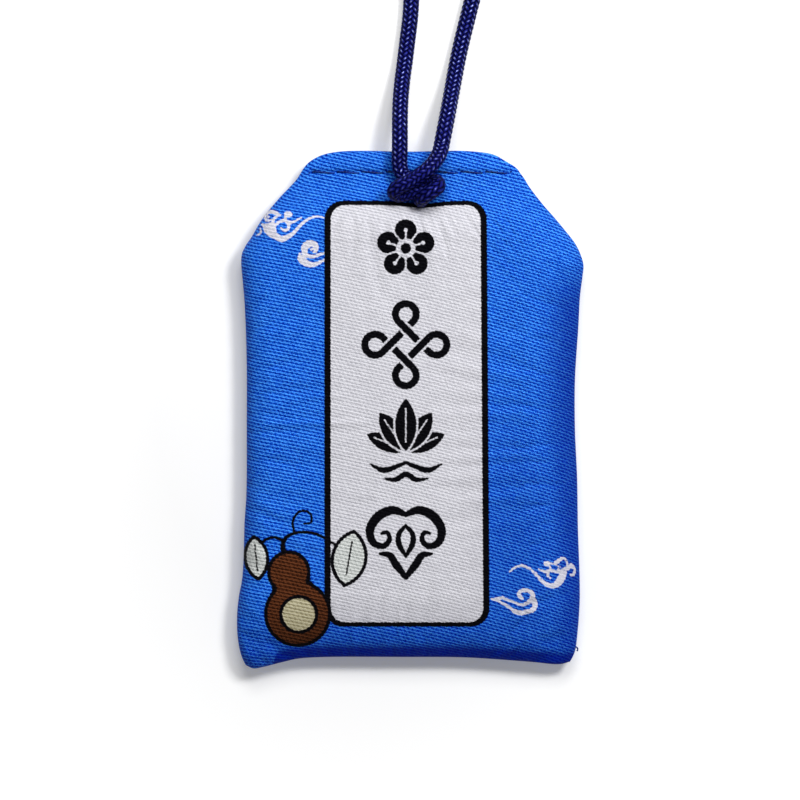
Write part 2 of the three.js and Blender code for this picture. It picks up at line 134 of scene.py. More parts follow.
cord_line = line_through([*left_route[::-1], *knot_route, *right_route], ring_step)
in_knot = np.flatnonzero(cord_line[:, 1] < fold_bottom)
knot_start, knot_end = in_knot[0], in_knot[-1]


# The braid. Ten yarns wind each way round the cord, and where its passes press on each other in a
# knot it is drawn a little thinner and they flatten against their common face.
cord_sides = 60
braid_pitch = 0.63
yarns_each_way = 10
braid_relief = 0.13
float_dip = 0.6
knot_swell = -0.06
swell_reach = 3.0
press_gap = 0.02
near_skip = 0.7
blur_passes = 2


def section_frames(line):
    """The line's direction, and two directions square to it that follow its bends without twisting."""
    forward = np.gradient(line, axis=0)
    forward /= np.linalg.norm(forward, axis=1, keepdims=True)
    sideways = np.empty_like(line)
    side = np.cross(forward[0], (0.0, 0.0, 1.0))
    for i, direction in enumerate(forward):
        side = side - direction * (side @ direction)
        side /= np.linalg.norm(side)
        sideways[i] = side
    return forward, sideways, np.cross(forward, sideways)


def outward_directions(line, sides):
    """For each ring of a tube along the line, the unit directions from its middle to its sides."""
    _, sideways, upward = section_frames(line)
    turn = 2 * math.pi * np.arange(sides) / sides
    return (
        np.cos(turn)[None, :, None] * sideways[:, None] + np.sin(turn)[None, :, None] * upward[:, None]
    )


def braid_height(pitches, turns):
    """How high the braid's surface stands, from 0 to 1. Half of the yarns climb to the right and half
    to the left. Each passes over two and under two, so that the ones on top lie in columns, and it is
    round across its width and dips at both ends of its float."""
    right, left = turns + pitches, turns - pitches
    cell = (np.floor(right) + np.floor(left)) % 4
    right_on_top = cell < 2
    across = np.where(right_on_top, right, left) % 1
    along = (cell % 2 + np.where(right_on_top, left, right) % 1) / 2
    dip = float_dip * (1 - np.sin(math.pi * along))
    return np.sqrt(np.maximum(1 - (2 * across - 1) ** 2, 0)) * (1 - dip)


def eased(value, start, end):
    """A smooth step from 0 to 1 as value goes from start to end."""
    t = np.clip((value - start) / (end - start), 0, 1)
    return t * t * (3 - 2 * t)


def pressed_radius(line, outward, radius):
    """The radius of each side of each ring, where passes of a cord press on each other.

    A side reaches the radius, or the plane half way to the middle of another ring, whichever is
    nearer: a ring at distance d in direction e stops direction n at d / (2 n.e)."""
    spacing = np.linalg.norm(line[1] - line[0])
    apart = line[None] - line[:, None]
    square = (apart**2).sum(-1)
    facing = np.einsum("isk,ijk->isj", outward, apart)
    reach = square[:, None, :] / (2 * np.maximum(facing, 1e-6))
    index = np.arange(len(line))
    close = np.abs(index[:, None] - index[None]) * spacing < near_skip
    reach[np.broadcast_to(close[:, None, :], reach.shape)] = np.inf
    pressed = np.minimum(radius[:, None], reach.min(-1) - press_gap)
    for _ in range(blur_passes):
        pressed = (2 * pressed + np.roll(pressed, 1, 1) + np.roll(pressed, -1, 1)) / 4
        pressed[1:-1] = (2 * pressed[1:-1] + pressed[:-2] + pressed[2:]) / 4
    return pressed


cord_outward = outward_directions(cord_line, cord_sides)
ring_places = np.arange(len(cord_line)) * ring_step
from_knot_ends = np.minimum(ring_places - ring_places[knot_start], ring_places[knot_end] - ring_places)
cord_radius = cord_diameter / 2 + knot_swell * eased(from_knot_ends, 0, swell_reach)
margin = int(swell_reach / ring_step)
pressed_part = slice(knot_start - margin, knot_end + margin)
side_radius = np.repeat(cord_radius[:, None], cord_sides, axis=1)
side_radius[pressed_part] = pressed_radius(
    cord_line[pressed_part], cord_outward[pressed_part], cord_radius[pressed_part]
)
cord_pitches = ring_places / braid_pitch
side_turns = yarns_each_way * np.arange(cord_sides) / cord_sides
relief = braid_relief * braid_height(cord_pitches[:, None], side_turns[None])
cord_rings = cord_line[:, None] + cord_outward * (side_radius + relief)[..., None]


# The cord's finish: polyester filament dyed navy, with a painted shade, all but black, in the gaps
# between its yarns, and a painted highlight, a pale blue glint, on the crown of each float. Each pair
# of limits is where a colour starts and is full.


def srgb(red, green, blue):
    """A colour written as it looks, 0 to 255, as the linear colour that a shader takes."""
    share = np.array([red, green, blue]) / 255
    linear = np.where(share <= 0.04045, share / 12.92, ((share + 0.055) / 1.055) ** 2.4)
    return (*linear.tolist(), 1.0)


cord_gap_shade_colour = srgb(0, 0, 18)
cord_yarn_colour = srgb(18, 22, 104)
cord_painted_glint_colour = srgb(176, 190, 255)
cord_roughness = 0.36
cord_gloss = 0.02
cord_metallic = 0.3
gap_shade_limits = (0.1, 0.6)
painted_glint_limits = (0.76, 0.99)
painted_glint_noise_limits = (0.45, 0.66)
painted_glint_strengths = (0.05, 0.9)
filament_count = 7.0
filament_length = 0.9
filament_offset = 3.7
filament_limits = (0.38, 0.62)
filament_relief = 0.02


def add_node(tree, kind, inputs=(), **settings):
    """One shader node with its settings. An input is a value or another node's output."""
    made = tree.nodes.new("ShaderNode" + kind)
    for name, value in settings.items():
        setattr(made, name, value)
    for socket, value in dict(inputs).items():
        if isinstance(value, bpy.types.NodeSocket):
            tree.links.new(value, made.inputs[socket])
        else:
            made.inputs[socket].default_value = value
    return made


def sums(tree, operation, *values):
    """The result of a Math node."""
    return add_node(tree, "Math", enumerate(values), operation=operation).outputs[0]


def blend_colours(tree, share, first, second):
    """The colour that is first where share is 0 and second where it is 1."""
    return add_node(tree, "Mix", {0: share, 6: first, 7: second}, data_type="RGBA").outputs[2]


def blend_values(tree, share, first, second):
    """The value that is first where share is 0 and second where it is 1."""
    return add_node(tree, "Mix", {0: share, 2: first, 3: second}, data_type="FLOAT").outputs[0]


def rescale(tree, value, low, high, new_low=0.0, new_high=1.0):
    """The value stretched from one range to another and held inside it."""
    inputs = {0: value, 1: low, 2: high, 3: new_low, 4: new_high}
    return add_node(tree, "MapRange", inputs, clamp=True).outputs[0]


def new_material(name, roughness, gloss=0.5, metallic=0.0):
    """A material with a Principled shader, its node tree and that shader."""
    material = bpy.data.materials.new(name)
    material.use_nodes = True
    shader = material.node_tree.nodes["Principled BSDF"]
    shader.inputs["Roughness"].default_value = roughness
    shader.inputs["Specular IOR Level"].default_value = gloss
    shader.inputs["Metallic"].default_value = metallic
    return material, material.node_tree, shader


def braided_cord_finish():
    """Works out from the braid's UV map which yarn is on top, as braid_height does, and streaks that
    yarn along its filaments. It paints shade into the low gaps between yarns and a highlight on each
    yarn's crown, and the painted highlight fades where the knot's fade attribute says so."""
    material, tree, shader = new_material("braided_cord", cord_roughness, cord_gloss, cord_metallic)
    place = add_node(tree, "SeparateXYZ", {0: add_node(tree, "UVMap", uv_map="braid").outputs[0]}).outputs
    right = sums(tree, "ADD", place[1], place[0])
    left = sums(tree, "SUBTRACT", place[1], place[0])
    cells = sums(tree, "ADD", sums(tree, "FLOOR", right), sums(tree, "FLOOR", left))
    cell = sums(tree, "FLOORED_MODULO", cells, 4.0)
    left_on_top = sums(tree, "GREATER_THAN", cell, 1.5)
    top_yarn = blend_values(tree, left_on_top, right, left)
    across = sums(tree, "FRACT", top_yarn)
    second_half = sums(tree, "FLOORED_MODULO", cell, 2.0)
    in_cell = sums(tree, "FRACT", blend_values(tree, left_on_top, left, right))
    along = sums(tree, "MULTIPLY", sums(tree, "ADD", second_half, in_cell), 0.5)
    crown = sums(tree, "SINE", sums(tree, "MULTIPLY", across, math.pi))
    swell = sums(tree, "SINE", sums(tree, "MULTIPLY", along, math.pi))
    top = sums(tree, "MULTIPLY", crown, swell)
    streak_inputs = {
        0: sums(tree, "MULTIPLY", across, filament_count),
        1: sums(tree, "MULTIPLY", along, filament_length),
        2: sums(tree, "MULTIPLY", sums(tree, "FLOOR", top_yarn), filament_offset),
    }
    streak_place = add_node(tree, "CombineXYZ", streak_inputs).outputs[0]
    noise = add_node(tree, "TexNoise", {"Vector": streak_place, "Scale": 1.0, "Detail": 2.0}).outputs[0]
    streak = rescale(tree, noise, *filament_limits)
    # The low gaps between the yarns get a painted shade, all but black.
    yarn = blend_colours(tree, rescale(tree, top, *gap_shade_limits), cord_gap_shade_colour, cord_yarn_colour)
    # A painted highlight on the crown of each float, broken up along its filaments.
    crown_painted_glint = rescale(tree, top, *painted_glint_limits)
    filament_painted_glint = rescale(tree, noise, *painted_glint_noise_limits, *painted_glint_strengths)
    painted_glint = sums(tree, "MULTIPLY", crown_painted_glint, filament_painted_glint)
    painted_glint_fade = add_node(tree, "Attribute", attribute_name="painted_glint_fade").outputs["Fac"]
    painted_glint = sums(tree, "MULTIPLY", painted_glint, sums(tree, "SUBTRACT", 1.0, painted_glint_fade))
    colour = blend_colours(tree, painted_glint, yarn, cord_painted_glint_colour)
    tree.links.new(colour, shader.inputs["Base Color"])
    bump = add_node(tree, "Bump", {"Height": streak, "Distance": filament_relief * MM})
    tree.links.new(bump.outputs[0], shader.inputs["Normal"])
    return material


cord_finish = braided_cord_finish()


# The half knot. The cord is drawn through two holes in the front of the pouch and crossed over itself
# there, and it stays with the pouch when the loop above it folds. Inside the knot the cord's painted
# highlight is faded, a painted shade over its folds.
knot_glint_fade = 0.8
glint_fade_reach = (1.5, 4.0)


def new_piece(name, points, faces, maps=None):
    """A smooth mesh object from points in millimetres and arrays of faces, one array for each count
    of corners. maps gives each UV map's values, corner by corner."""
    mesh = bpy.data.meshes.new(name)
    corners = np.concatenate([part.ravel() for part in faces]).astype(np.int32)
    counts = np.concatenate([np.full(len(part), part.shape[1]) for part in faces])
    starts = np.concatenate([[0], np.cumsum(counts)[:-1]]).astype(np.int32)
    mesh.vertices.add(len(points))
    mesh.vertices.foreach_set("co", (np.asarray(points) * MM).astype(np.float32).ravel())
    mesh.loops.add(len(corners))
    mesh.loops.foreach_set("vertex_index", corners)
    mesh.polygons.add(len(counts))
    mesh.polygons.foreach_set("loop_start", starts)
    mesh.polygons.foreach_set("use_smooth", np.ones(len(counts), bool))
    for map_name, values in (maps or {}).items():
        layer = mesh.uv_layers.new(name=map_name)
        layer.uv.foreach_set("vector", np.asarray(values, np.float32).ravel())
    mesh.update(calc_edges=True)
    mesh.validate()
    piece = bpy.data.objects.new(name, mesh)
    bpy.context.scene.collection.objects.link(piece)
    return piece


def new_tube(name, rings, along, yarns):
    """A closed tube: its rings of points joined by four-sided faces, and a fan of triangles to a
    middle point at each end. Its UV map holds each ring's value of along, and the turns in yarns."""
    count, sides, _ = rings.shape
    ring = np.arange(count - 1)[:, None] * sides
    side = np.arange(sides)
    after = (side + 1) % sides
    quads = np.stack([ring + side, ring + after, ring + sides + after, ring + sides + side], axis=-1)
    first, last = count * sides, count * sides + 1
    last_ring = (count - 1) * sides
    start_fan = np.stack([np.full(sides, first), after, side], axis=-1)
    end_fan = np.stack([np.full(sides, last), last_ring + side, last_ring + after], axis=-1)
    points = np.concatenate([rings.reshape(-1, 3), [rings[0].mean(0)], [rings[-1].mean(0)]])
    here, there = (np.broadcast_to(part[:, None], (count - 1, sides)) for part in (along[:-1], along[1:]))
    low, high = (np.broadcast_to(part * yarns / sides, (count - 1, sides)) for part in (side, side + 1))
    quad_map = np.stack([here, low, here, high, there, high, there, low], axis=-1).reshape(-1, 2)
    fan_map = [
        np.stack([np.full((sides, 3), value), np.tile([[0.5, 1.0, 0.0]], (sides, 1))], axis=-1)
        for value in (along[0], along[-1])
    ]
    faces = [quads.reshape(-1, 4), np.concatenate([start_fan, end_fan])]
    braid_map = np.concatenate([quad_map, fan_map[0].reshape(-1, 2), fan_map[1].reshape(-1, 2)])
    return new_piece(name, points, faces, {"braid": braid_map})


def keep_values(piece, name, values, elsewhere=0.0):
    """Keeps a value for each of a piece's first points as its attribute, and elsewhere for the rest."""
    kept = np.full(len(piece.data.vertices), elsewhere, np.float32)
    kept[: values.size] = values.ravel()
    piece.data.attributes.new(name, "FLOAT", "POINT").data.foreach_set("value", kept)


def finish_cord(piece):
    """Gives a piece of the cord its material."""
    piece.data.materials.append(cord_finish)


half_knot = new_tube(
    "half_knot",
    cord_rings[knot_start : knot_end + 1],
    cord_pitches[knot_start : knot_end + 1],
    yarns_each_way,
)
finish_cord(half_knot)
# How far the painted highlight fades in each ring of the knot: painted shade over its folds.
ring_glint_fade = knot_glint_fade * eased(from_knot_ends[knot_start : knot_end + 1], *glint_fade_reach)
painted_glint_fade = np.concatenate([np.repeat(ring_glint_fade, cord_sides), ring_glint_fade[[0, -1]]])
keep_values(half_knot, "painted_glint_fade", painted_glint_fade)
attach(half_knot, "pouch")
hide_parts("cord_knot")


# The end knot. The cord's two ends run up through its core side by side, wind back down round it as a
# pair and tuck in under themselves, and stand out of its far end as two short tails with melted tips.
end_knot_middle = (6.45, 98.7, 3.19)
knot_core_radius = 0.75
knot_wrap_radius = 2.2
knot_wrap_turns = 1.3
knot_wrap_rise = 1.75
knot_core_end = 1.5
knot_core_bend = 1.3
knot_tuck = 2.5
tuck_turn = 0.3
core_turn = 0.5
wrap_places = 14
left_tail_route = [
    (5.45, 102.0, 2.5), (5.45, 102.6, 2.45), (5.3, 103.7, 2.0), (4.7, 105.3, 1.2),
    (3.6, 107.4, 0.98), (2.7, 108.9, 0.98),
]
right_tail_route = [
    (7.45, 102.0, 2.5), (7.45, 102.6, 2.45), (7.65, 103.7, 2.0), (8.5, 105.2, 1.2),
    (9.9, 106.9, 0.98), (11.2, 108.2, 0.98),
]
tip_length = 0.5
tip_fade = 0.1
tip_flat = 0.02
tip_swell = 0.1
knot_end_sides = 40


def edge_rise(distance, reach):
    """How far a quarter ellipse has risen, from 0 to 1, at a distance from its edge."""
    left_over = 1 - np.clip(distance / reach, 0, 1)
    return np.sqrt(1 - left_over**2)


def knotted_end(route, tail, first_turn):
    """The line of one end of the cord: from its strand's end up the core, out at the top, down round
    the core in a helix, in at the bottom, up the core again and out along its tail."""
    x, y, z = end_knot_middle
    tuck_radius = (knot_core_radius + knot_wrap_radius) / 2

    def at(turn, radius, rise):
        """The place at a turn and a radius round the knot's axis, and a rise along it."""
        return (x + radius * math.cos(turn), y + rise, z + radius * math.sin(turn))

    turns = first_turn + np.linspace(0, 2 * math.pi * knot_wrap_turns, wrap_places)
    rises = np.linspace(knot_wrap_rise, -knot_wrap_rise, wrap_places)
    wrap = [at(turn, knot_wrap_radius, rise) for turn, rise in zip(turns, rises)]
    last_turn = turns[-1]
    return line_through(
        [
            route[-2],
            route[-1],
            at(first_turn, knot_core_radius, -knot_core_end),
            at(first_turn, knot_core_radius, knot_core_bend),
            at(first_turn - tuck_turn, tuck_radius, knot_tuck),
            *wrap,
            at(last_turn + tuck_turn, tuck_radius, -knot_tuck),
            at(last_turn + core_turn, knot_core_radius, -knot_core_bend),
            at(last_turn + core_turn, knot_core_radius, knot_core_end),
            *tail,
        ],
        ring_step,
    )


cord_ends = [
    knotted_end(left_route, left_tail_route, math.pi),
    knotted_end(right_route, right_tail_route, 0.0),
]
end_counts = [len(line) for line in cord_ends]
both_ends = np.concatenate(cord_ends)
end_outward = np.concatenate([outward_directions(line, knot_end_sides) for line in cord_ends])
end_radius = pressed_radius(both_ends, end_outward, np.full(len(both_ends), cord_diameter / 2))
end_turns = yarns_each_way * np.arange(knot_end_sides) / knot_end_sides
for name, node, start, stop in (
    ("left_cord_end", "left_cord_tail", 0, end_counts[0]),
    ("right_cord_end", "right_cord_tail", end_counts[0], len(both_ends)),
):
    along = np.arange(stop - start) * ring_step
    to_tip = along[-1] - along
    melted = 1 - eased(to_tip, tip_length, tip_length + tip_fade)
    pitches = along / braid_pitch
    relief = braid_relief * braid_height(pitches[:, None], end_turns[None])
    tip_round = edge_rise(to_tip + tip_flat, tip_length)[:, None]
    radius = end_radius[start:stop] + relief * (1 - melted[:, None]) + tip_swell * melted[:, None]
    rings = both_ends[start:stop, None] + end_outward[start:stop] * (radius * tip_round)[..., None]
    cord_end = new_tube(name, rings, pitches, yarns_each_way)
    finish_cord(cord_end)
    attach(cord_end, "loop")
    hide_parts(node)
    if node == "left_cord_tail":
        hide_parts("end_knot")


# The two strands of the loop, limp braided cord that comes down from the mouth to the table.
strands = (
    ("left_cord", "left_strand", slice(0, knot_start + 1), knot_start),
    ("right_cord", "right_strand", slice(knot_end, len(cord_line)), knot_end),
)
for name, node, part, exit_ring in strands:
    strand = new_tube(name, cord_rings[part], cord_pitches[part], yarns_each_way)
    finish_cord(strand)
    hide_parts(node)
    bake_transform(strand)


# The pouch's outline. One strip of brocade is folded at the bottom and seamed up both sides, so its
# lower corners droop, its upper corners are tucked in, and its sides draw in at the waist. A reach is
# how far from an edge the cloth turns over to the rim, where front and back meet.
left_outline = [
    (-19.5, -30.1), (-20.05, -28.6), (-20.4, -26.4), (-20.42, -24.15), (-20.2, -22.0),
    (-19.77, -19.6), (-19.5, -13.0), (-19.3, -10.0), (-19.25, -2.0), (-19.27, 6.0),
    (-19.52, 12.6), (-19.77, 15.4), (-19.92, 17.2), (-19.85, 18.3), (-19.45, 19.2),
    (-18.6, 20.5), (-17.8, 21.9), (-16.9, 23.2), (-15.5, 24.9), (-14.4, 26.1),
    (-13.4, 27.25), (-12.7, 28.4), (-12.0, 29.2), (-10.8, 29.95), (-9.6, 30.35),
]
right_outline = [
    (19.0, -29.7), (19.5, -28.5), (19.75, -26.8), (20.05, -22.8), (20.05, -20.0),
    (19.85, -14.0), (19.75, -8.0), (19.5, -2.4), (19.5, 3.5), (19.9, 9.8),
    (20.1, 13.4), (20.4, 15.8), (20.5, 17.0), (20.15, 18.3), (19.5, 19.6),
    (18.5, 20.9), (17.1, 22.6), (15.7, 24.2), (14.2, 26.2), (13.55, 27.3),
    (13.1, 27.9), (12.8, 28.35), (12.25, 28.8), (11.5, 29.25), (10.4, 29.95),
    (9.4, 30.35),
]
bottom_outline = [
    (-19.5, -30.1), (-18.5, -30.5), (-17.4, -30.35), (-15.2, -29.8), (-12.8, -29.3),
    (0.0, -29.15), (6.4, -29.2), (10.6, -29.45), (14.5, -29.75), (17.6, -30.0), (19.0, -29.7),
]
top_outline = [(-9.6, 30.35), (-8.0, 30.52), (-6.0, 30.57), (0.0, 30.47), (6.0, 30.57), (9.4, 30.35)]
outline_step = 0.1
slant_step = 0.6
left_reach = 2.4
right_reach = 6.0
fold_reach = 2.0
hem_reach = 0.9
side_columns = 26
middle_columns = 330
fold_rows = 22
middle_rows = 420
hem_rows = 10


def outline_at(points, along, read):
    """One side of the outline as a function: the coordinate number read where the other is along."""
    line = line_through(points, outline_step)
    order = np.argsort(line[:, 1 - read])
    return np.interp(along, line[order, 1 - read], line[order, read])


def round_then_even(start_reach, even_count, end_reach, start_count, end_count, total):
    """Places from 0 to total that crowd towards both ends as the steps of a quarter turn do."""
    start = start_reach * (1 - np.cos(np.linspace(0, math.pi / 2, start_count + 1)))
    end = end_reach * (1 - np.cos(np.linspace(0, math.pi / 2, end_count + 1)))
    even = np.linspace(start[-1], total - end[-1], even_count + 1)
    return np.concatenate([start[:-1], even, total - end[-2::-1]])


def pouch_plan():
    """Where each row and column of the pouch lies in plan.

    A row's ends are on the left and right outlines, and its columns crowd towards them. The lowest
    and highest rows follow the bottom and top outlines, which fade out as the cube of the height."""
    corners = (left_outline[0][1], left_outline[-1][1], right_outline[0][1], right_outline[-1][1])
    tall = corners[1] - corners[0]
    up = round_then_even(fold_reach, middle_rows, hem_reach, fold_rows, hem_rows, tall)[:, None] / tall
    left_y = corners[0] + up * (corners[1] - corners[0])
    right_y = corners[2] + up * (corners[3] - corners[2])
    left_x = outline_at(left_outline, left_y, 0)
    right_x = outline_at(right_outline, right_y, 0)
    wide = right_x - left_x
    start = left_reach * (1 - np.cos(np.linspace(0, math.pi / 2, side_columns + 1)))[:-1]
    end = right_reach * (1 - np.cos(np.linspace(math.pi / 2, 0, side_columns + 1)))[1:]
    even = np.linspace(0, 1, middle_columns + 1)
    x = np.concatenate(
        [
            left_x + start,
            left_x + left_reach + even * (wide - left_reach - right_reach),
            right_x - end,
        ],
        axis=1,
    )
    across = (x - left_x) / wide
    sag_x = left_outline[0][0] + across[0] * (right_outline[0][0] - left_outline[0][0])
    top_x = left_outline[-1][0] + across[-1] * (right_outline[-1][0] - left_outline[-1][0])
    sag = outline_at(bottom_outline, sag_x, 1) - (left_y[0] + across[0] * (right_y[0] - left_y[0]))
    rise = outline_at(top_outline, top_x, 1) - (left_y[-1] + across[-1] * (right_y[-1] - left_y[-1]))
    y = left_y + across * (right_y - left_y) + sag * (1 - up) ** 3 + rise * up**3
    return x, y


def side_slant(points, y):
    """How much nearer a slanting side is, square to it, than it is along a row."""
    run = outline_at(points, y + slant_step, 0) - outline_at(points, y - slant_step, 0)
    return 2 * slant_step / np.hypot(run, 2 * slant_step)


plan_x, plan_y = pouch_plan()
from_left = (plan_x - plan_x[:, :1]) * side_slant(left_outline, plan_y[:, :1])
from_right = (plan_x[:, -1:] - plan_x) * side_slant(right_outline, plan_y[:, -1:])
from_fold = plan_y - plan_y[:1]
from_hem = plan_y[-1:] - plan_y


# The sewing at the mouth draws the hem in along one line, most at the needle's holes, and the cord's
# two holes and its knot press the cloth down around them.
stitch_y = 27.92
stitch_reach = 11.6
stitch_count = 8
stitch_sink = 0.2
stitch_spread = 0.24
needle_sink = 0.22
needle_spread = 0.35
lip_rise = 0.06
lip_above = 1.05
lip_spread = 0.6
cord_holes = [(1.3, 24.6), (2.5, 25.75)]
hole_sink = 0.8
hole_spread = 1.3
knot_sink = 0.35
knot_spread = 3.2
knot_middle = (1.0, 26.0)
needle_places = np.linspace(-stitch_reach, stitch_reach, stitch_count + 1)


def hollow(x, y, place, spread):
    """A round dip about a place, 1 at its middle and fading as a bell curve."""
    return np.exp(-((x - place[0]) ** 2 + (y - place[1]) ** 2) / spread**2)


def hem_shape(x, y):
    """How far the stitching, the cord's holes and the knot move the front of the cloth."""
    inside = eased(stitch_reach + needle_spread - np.abs(x), 0, needle_spread)
    line = np.exp(-(((y - stitch_y) / stitch_spread) ** 2)) * inside
    lip = np.exp(-(((y - stitch_y - lip_above) / lip_spread) ** 2)) * inside
    needles = sum(hollow(x, y, (place, stitch_y), needle_spread) for place in needle_places)
    holes = sum(hollow(x, y, place, hole_spread) for place in cord_holes)
    under_knot = hollow(x, y, knot_middle, knot_spread)
    sunk = stitch_sink * line + needle_sink * needles + hole_sink * holes + knot_sink * under_knot
    return lip_rise * lip - sunk


# Creases in the cloth, where layers are folded in at its shoulders and lower corners, and along its
# sides. Each has the places of its two ends, its depth and its width.
creases = [
    ((13.5, 26.5), (17.5, 18.5), 0.16, 1.1),
    ((10.5, 25.0), (15.0, 17.0), 0.1, 1.3),
    ((-17.8, 20.0), (-12.5, 26.0), 0.12, 1.0),
    ((-19.0, -26.5), (-14.5, -28.3), 0.22, 0.8),
    ((18.5, -27.0), (14.5, -28.0), 0.15, 0.8),
    ((16.5, -16.0), (17.6, 2.0), 0.1, 1.2),
    ((-18.2, -4.0), (-17.6, 9.0), 0.08, 0.9),
]


def crease(x, y, start, end, depth, width):
    """A valley along the line between two places, which fades towards both ends and both sides."""
    run = np.subtract(end, start)
    share = ((x - start[0]) * run[0] + (y - start[1]) * run[1]) / (run @ run)
    offside = ((x - start[0]) * run[1] - (y - start[1]) * run[0]) / math.hypot(*run)
    ends = np.clip(4 * share * (1 - share), 0, None)
    return depth * ends * np.exp(-((offside / width) ** 2))


# The pouch's heights. The front lies on a foam pad with a low crown, the back is flat on the table, and
# both let down to the rim and narrow to the hem. A slope is where, going up, a face narrows, and a drop
# is how much lower the pad is at its sides, its toe and its ends than in its middle.
pouch_half_width, _, pouch_thickness = np.array(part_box("pouch_cloth")[1]) / MM
rim_height = 2.34
hem_top = 3.1
hem_bottom = 1.0
front_slope = (21.0, 27.3)
back_slope = (24.2, 27.3)
fold_start = 0.35
fold_start_rise = 0.25
fold_face = 1.75
fold_ease = 0.12
ear_edge = (-18.0, -15.5)
crown_drop = 0.5
toe_drop = 0.88
toe_reach = (-29.0, -21.5)
dome_drop = 0.12
dome_reach = 22.0
seam_pucker = 0.1
seam_stitch = 3.0
pucker_reach = 1.8
seam_sink = 0.15
seam_half_width = 0.24
to_hem = eased(plan_y, *front_slope)
rim = rim_height + ((hem_top + hem_bottom) / 2 - rim_height) * to_hem


def fold_rise():
    """How far the fold at the bottom has risen. It starts round, goes on as a steep plain face, and
    turns into the front along a line. At the left corner, which droops, it is round all the way."""
    round_start = fold_start_rise * edge_rise(from_fold, fold_start)
    face = round_start + (1 - fold_start_rise) * from_fold / fold_face
    faced = (1 + face - np.hypot(1 - face, fold_ease)) / 2
    return edge_rise(from_fold, fold_reach) + eased(plan_x, *ear_edge) * (
        faced - edge_rise(from_fold, fold_reach)
    )


def pouch_front():
    """The height of the pouch's plain front, and how far its dents stand out of that. The front is the
    pad's crown, which each side lets down to the rim."""
    padded = pouch_thickness + (hem_top - pouch_thickness) * to_hem
    padded = padded - crown_drop * (plan_x / pouch_half_width) ** 2
    padded = padded - dome_drop * (np.clip(plan_y, -dome_reach, dome_reach) / dome_reach) ** 2
    padded = padded - toe_drop * (1 - eased(plan_y, *toe_reach))
    rise = edge_rise(from_left, left_reach) * edge_rise(from_right, right_reach)
    rise = rise * fold_rise() * edge_rise(from_hem, hem_reach)
    wave = 0.5 + 0.5 * np.cos(2 * math.pi * plan_y / seam_stitch)
    near_seam = np.exp(-from_left / pucker_reach) + np.exp(-from_right / pucker_reach)
    dents = sum(crease(plan_x, plan_y, *one) for one in creases) + seam_pucker * wave * near_seam
    return rim + (padded - rim) * rise, (hem_shape(plan_x, plan_y) - dents) * rise


def pouch_back():
    """The height of the pouch's back, which lies flat on the table as far as the hem."""
    flat = hem_bottom * eased(plan_y, *back_slope)
    rise = edge_rise(from_left, left_reach) * edge_rise(from_right, left_reach)
    rise = rise * edge_rise(from_fold, fold_reach) * edge_rise(from_hem, hem_reach)
    return rim + (flat - rim) * rise


def drawn_in(height):
    """How far the seams draw the rim in: a narrow groove at the rim, on every side but the fold."""
    groove = seam_sink * np.exp(-(((height - rim) / seam_half_width) ** 2))
    left = groove * np.exp(-from_left)
    right = groove * np.exp(-from_right)
    top = groove * np.exp(-from_hem)
    return plan_x + left - right, plan_y - top


# The puckers. A coarse sheet with the front's shape, held along its edges and at the hem, is blown up
# from inside by Blender's cloth simulation, a little slack and at twenty times its size. The pad keeps
# the front's broad shape, so only the puckers that the slack makes along the seams and at the corners
# are taken from it.
settle_rows = 121
settle_columns = 81
settle_scale = 20.0
settle_frames = 20
settle_margin = 2
settle_pressure = 4.0
settle_slack = 0.03
settle_start = 0.97
settle_hem = 23.0
settle_blurs = 12
pucker_cap = 0.15


def grid_faces(index, turned):
    """Four-sided faces over a grid of point numbers, turned over if they face down."""
    faces = np.stack([index[:-1, :-1], index[:-1, 1:], index[1:, 1:], index[1:, :-1]], axis=-1)
    faces = faces.reshape(-1, 4)
    return faces[:, ::-1] if turned else faces


def smoothed(grid):
    """A grid in which each value is half itself and half the mean of its four neighbours."""
    wide = np.pad(grid, 1, mode="edge")
    return grid / 2 + (wide[:-2, 1:-1] + wide[2:, 1:-1] + wide[1:-1, :-2] + wide[1:-1, 2:]) / 8


def cubic_weights(count, coarse):
    """A matrix that carries values at the coarse places on to all of the places between them, along
    the Catmull-Rom curve through the four nearest."""
    place = np.interp(np.arange(count), coarse, np.arange(len(coarse)))
    start = np.minimum(place.astype(int), len(coarse) - 2)
    t = place - start
    shares = (
        (2 * t**2 - t - t**3) / 2,
        (2 - 5 * t**2 + 3 * t**3) / 2,
        (t + 4 * t**2 - 3 * t**3) / 2,
        (t**3 - t**2) / 2,
    )
    matrix = np.zeros((count, len(coarse)))
    for offset, share in zip((-1, 0, 1, 2), shares):
        near = np.clip(start + offset, 0, len(coarse) - 1)
        np.add.at(matrix, (np.arange(count), near), share)
    return matrix


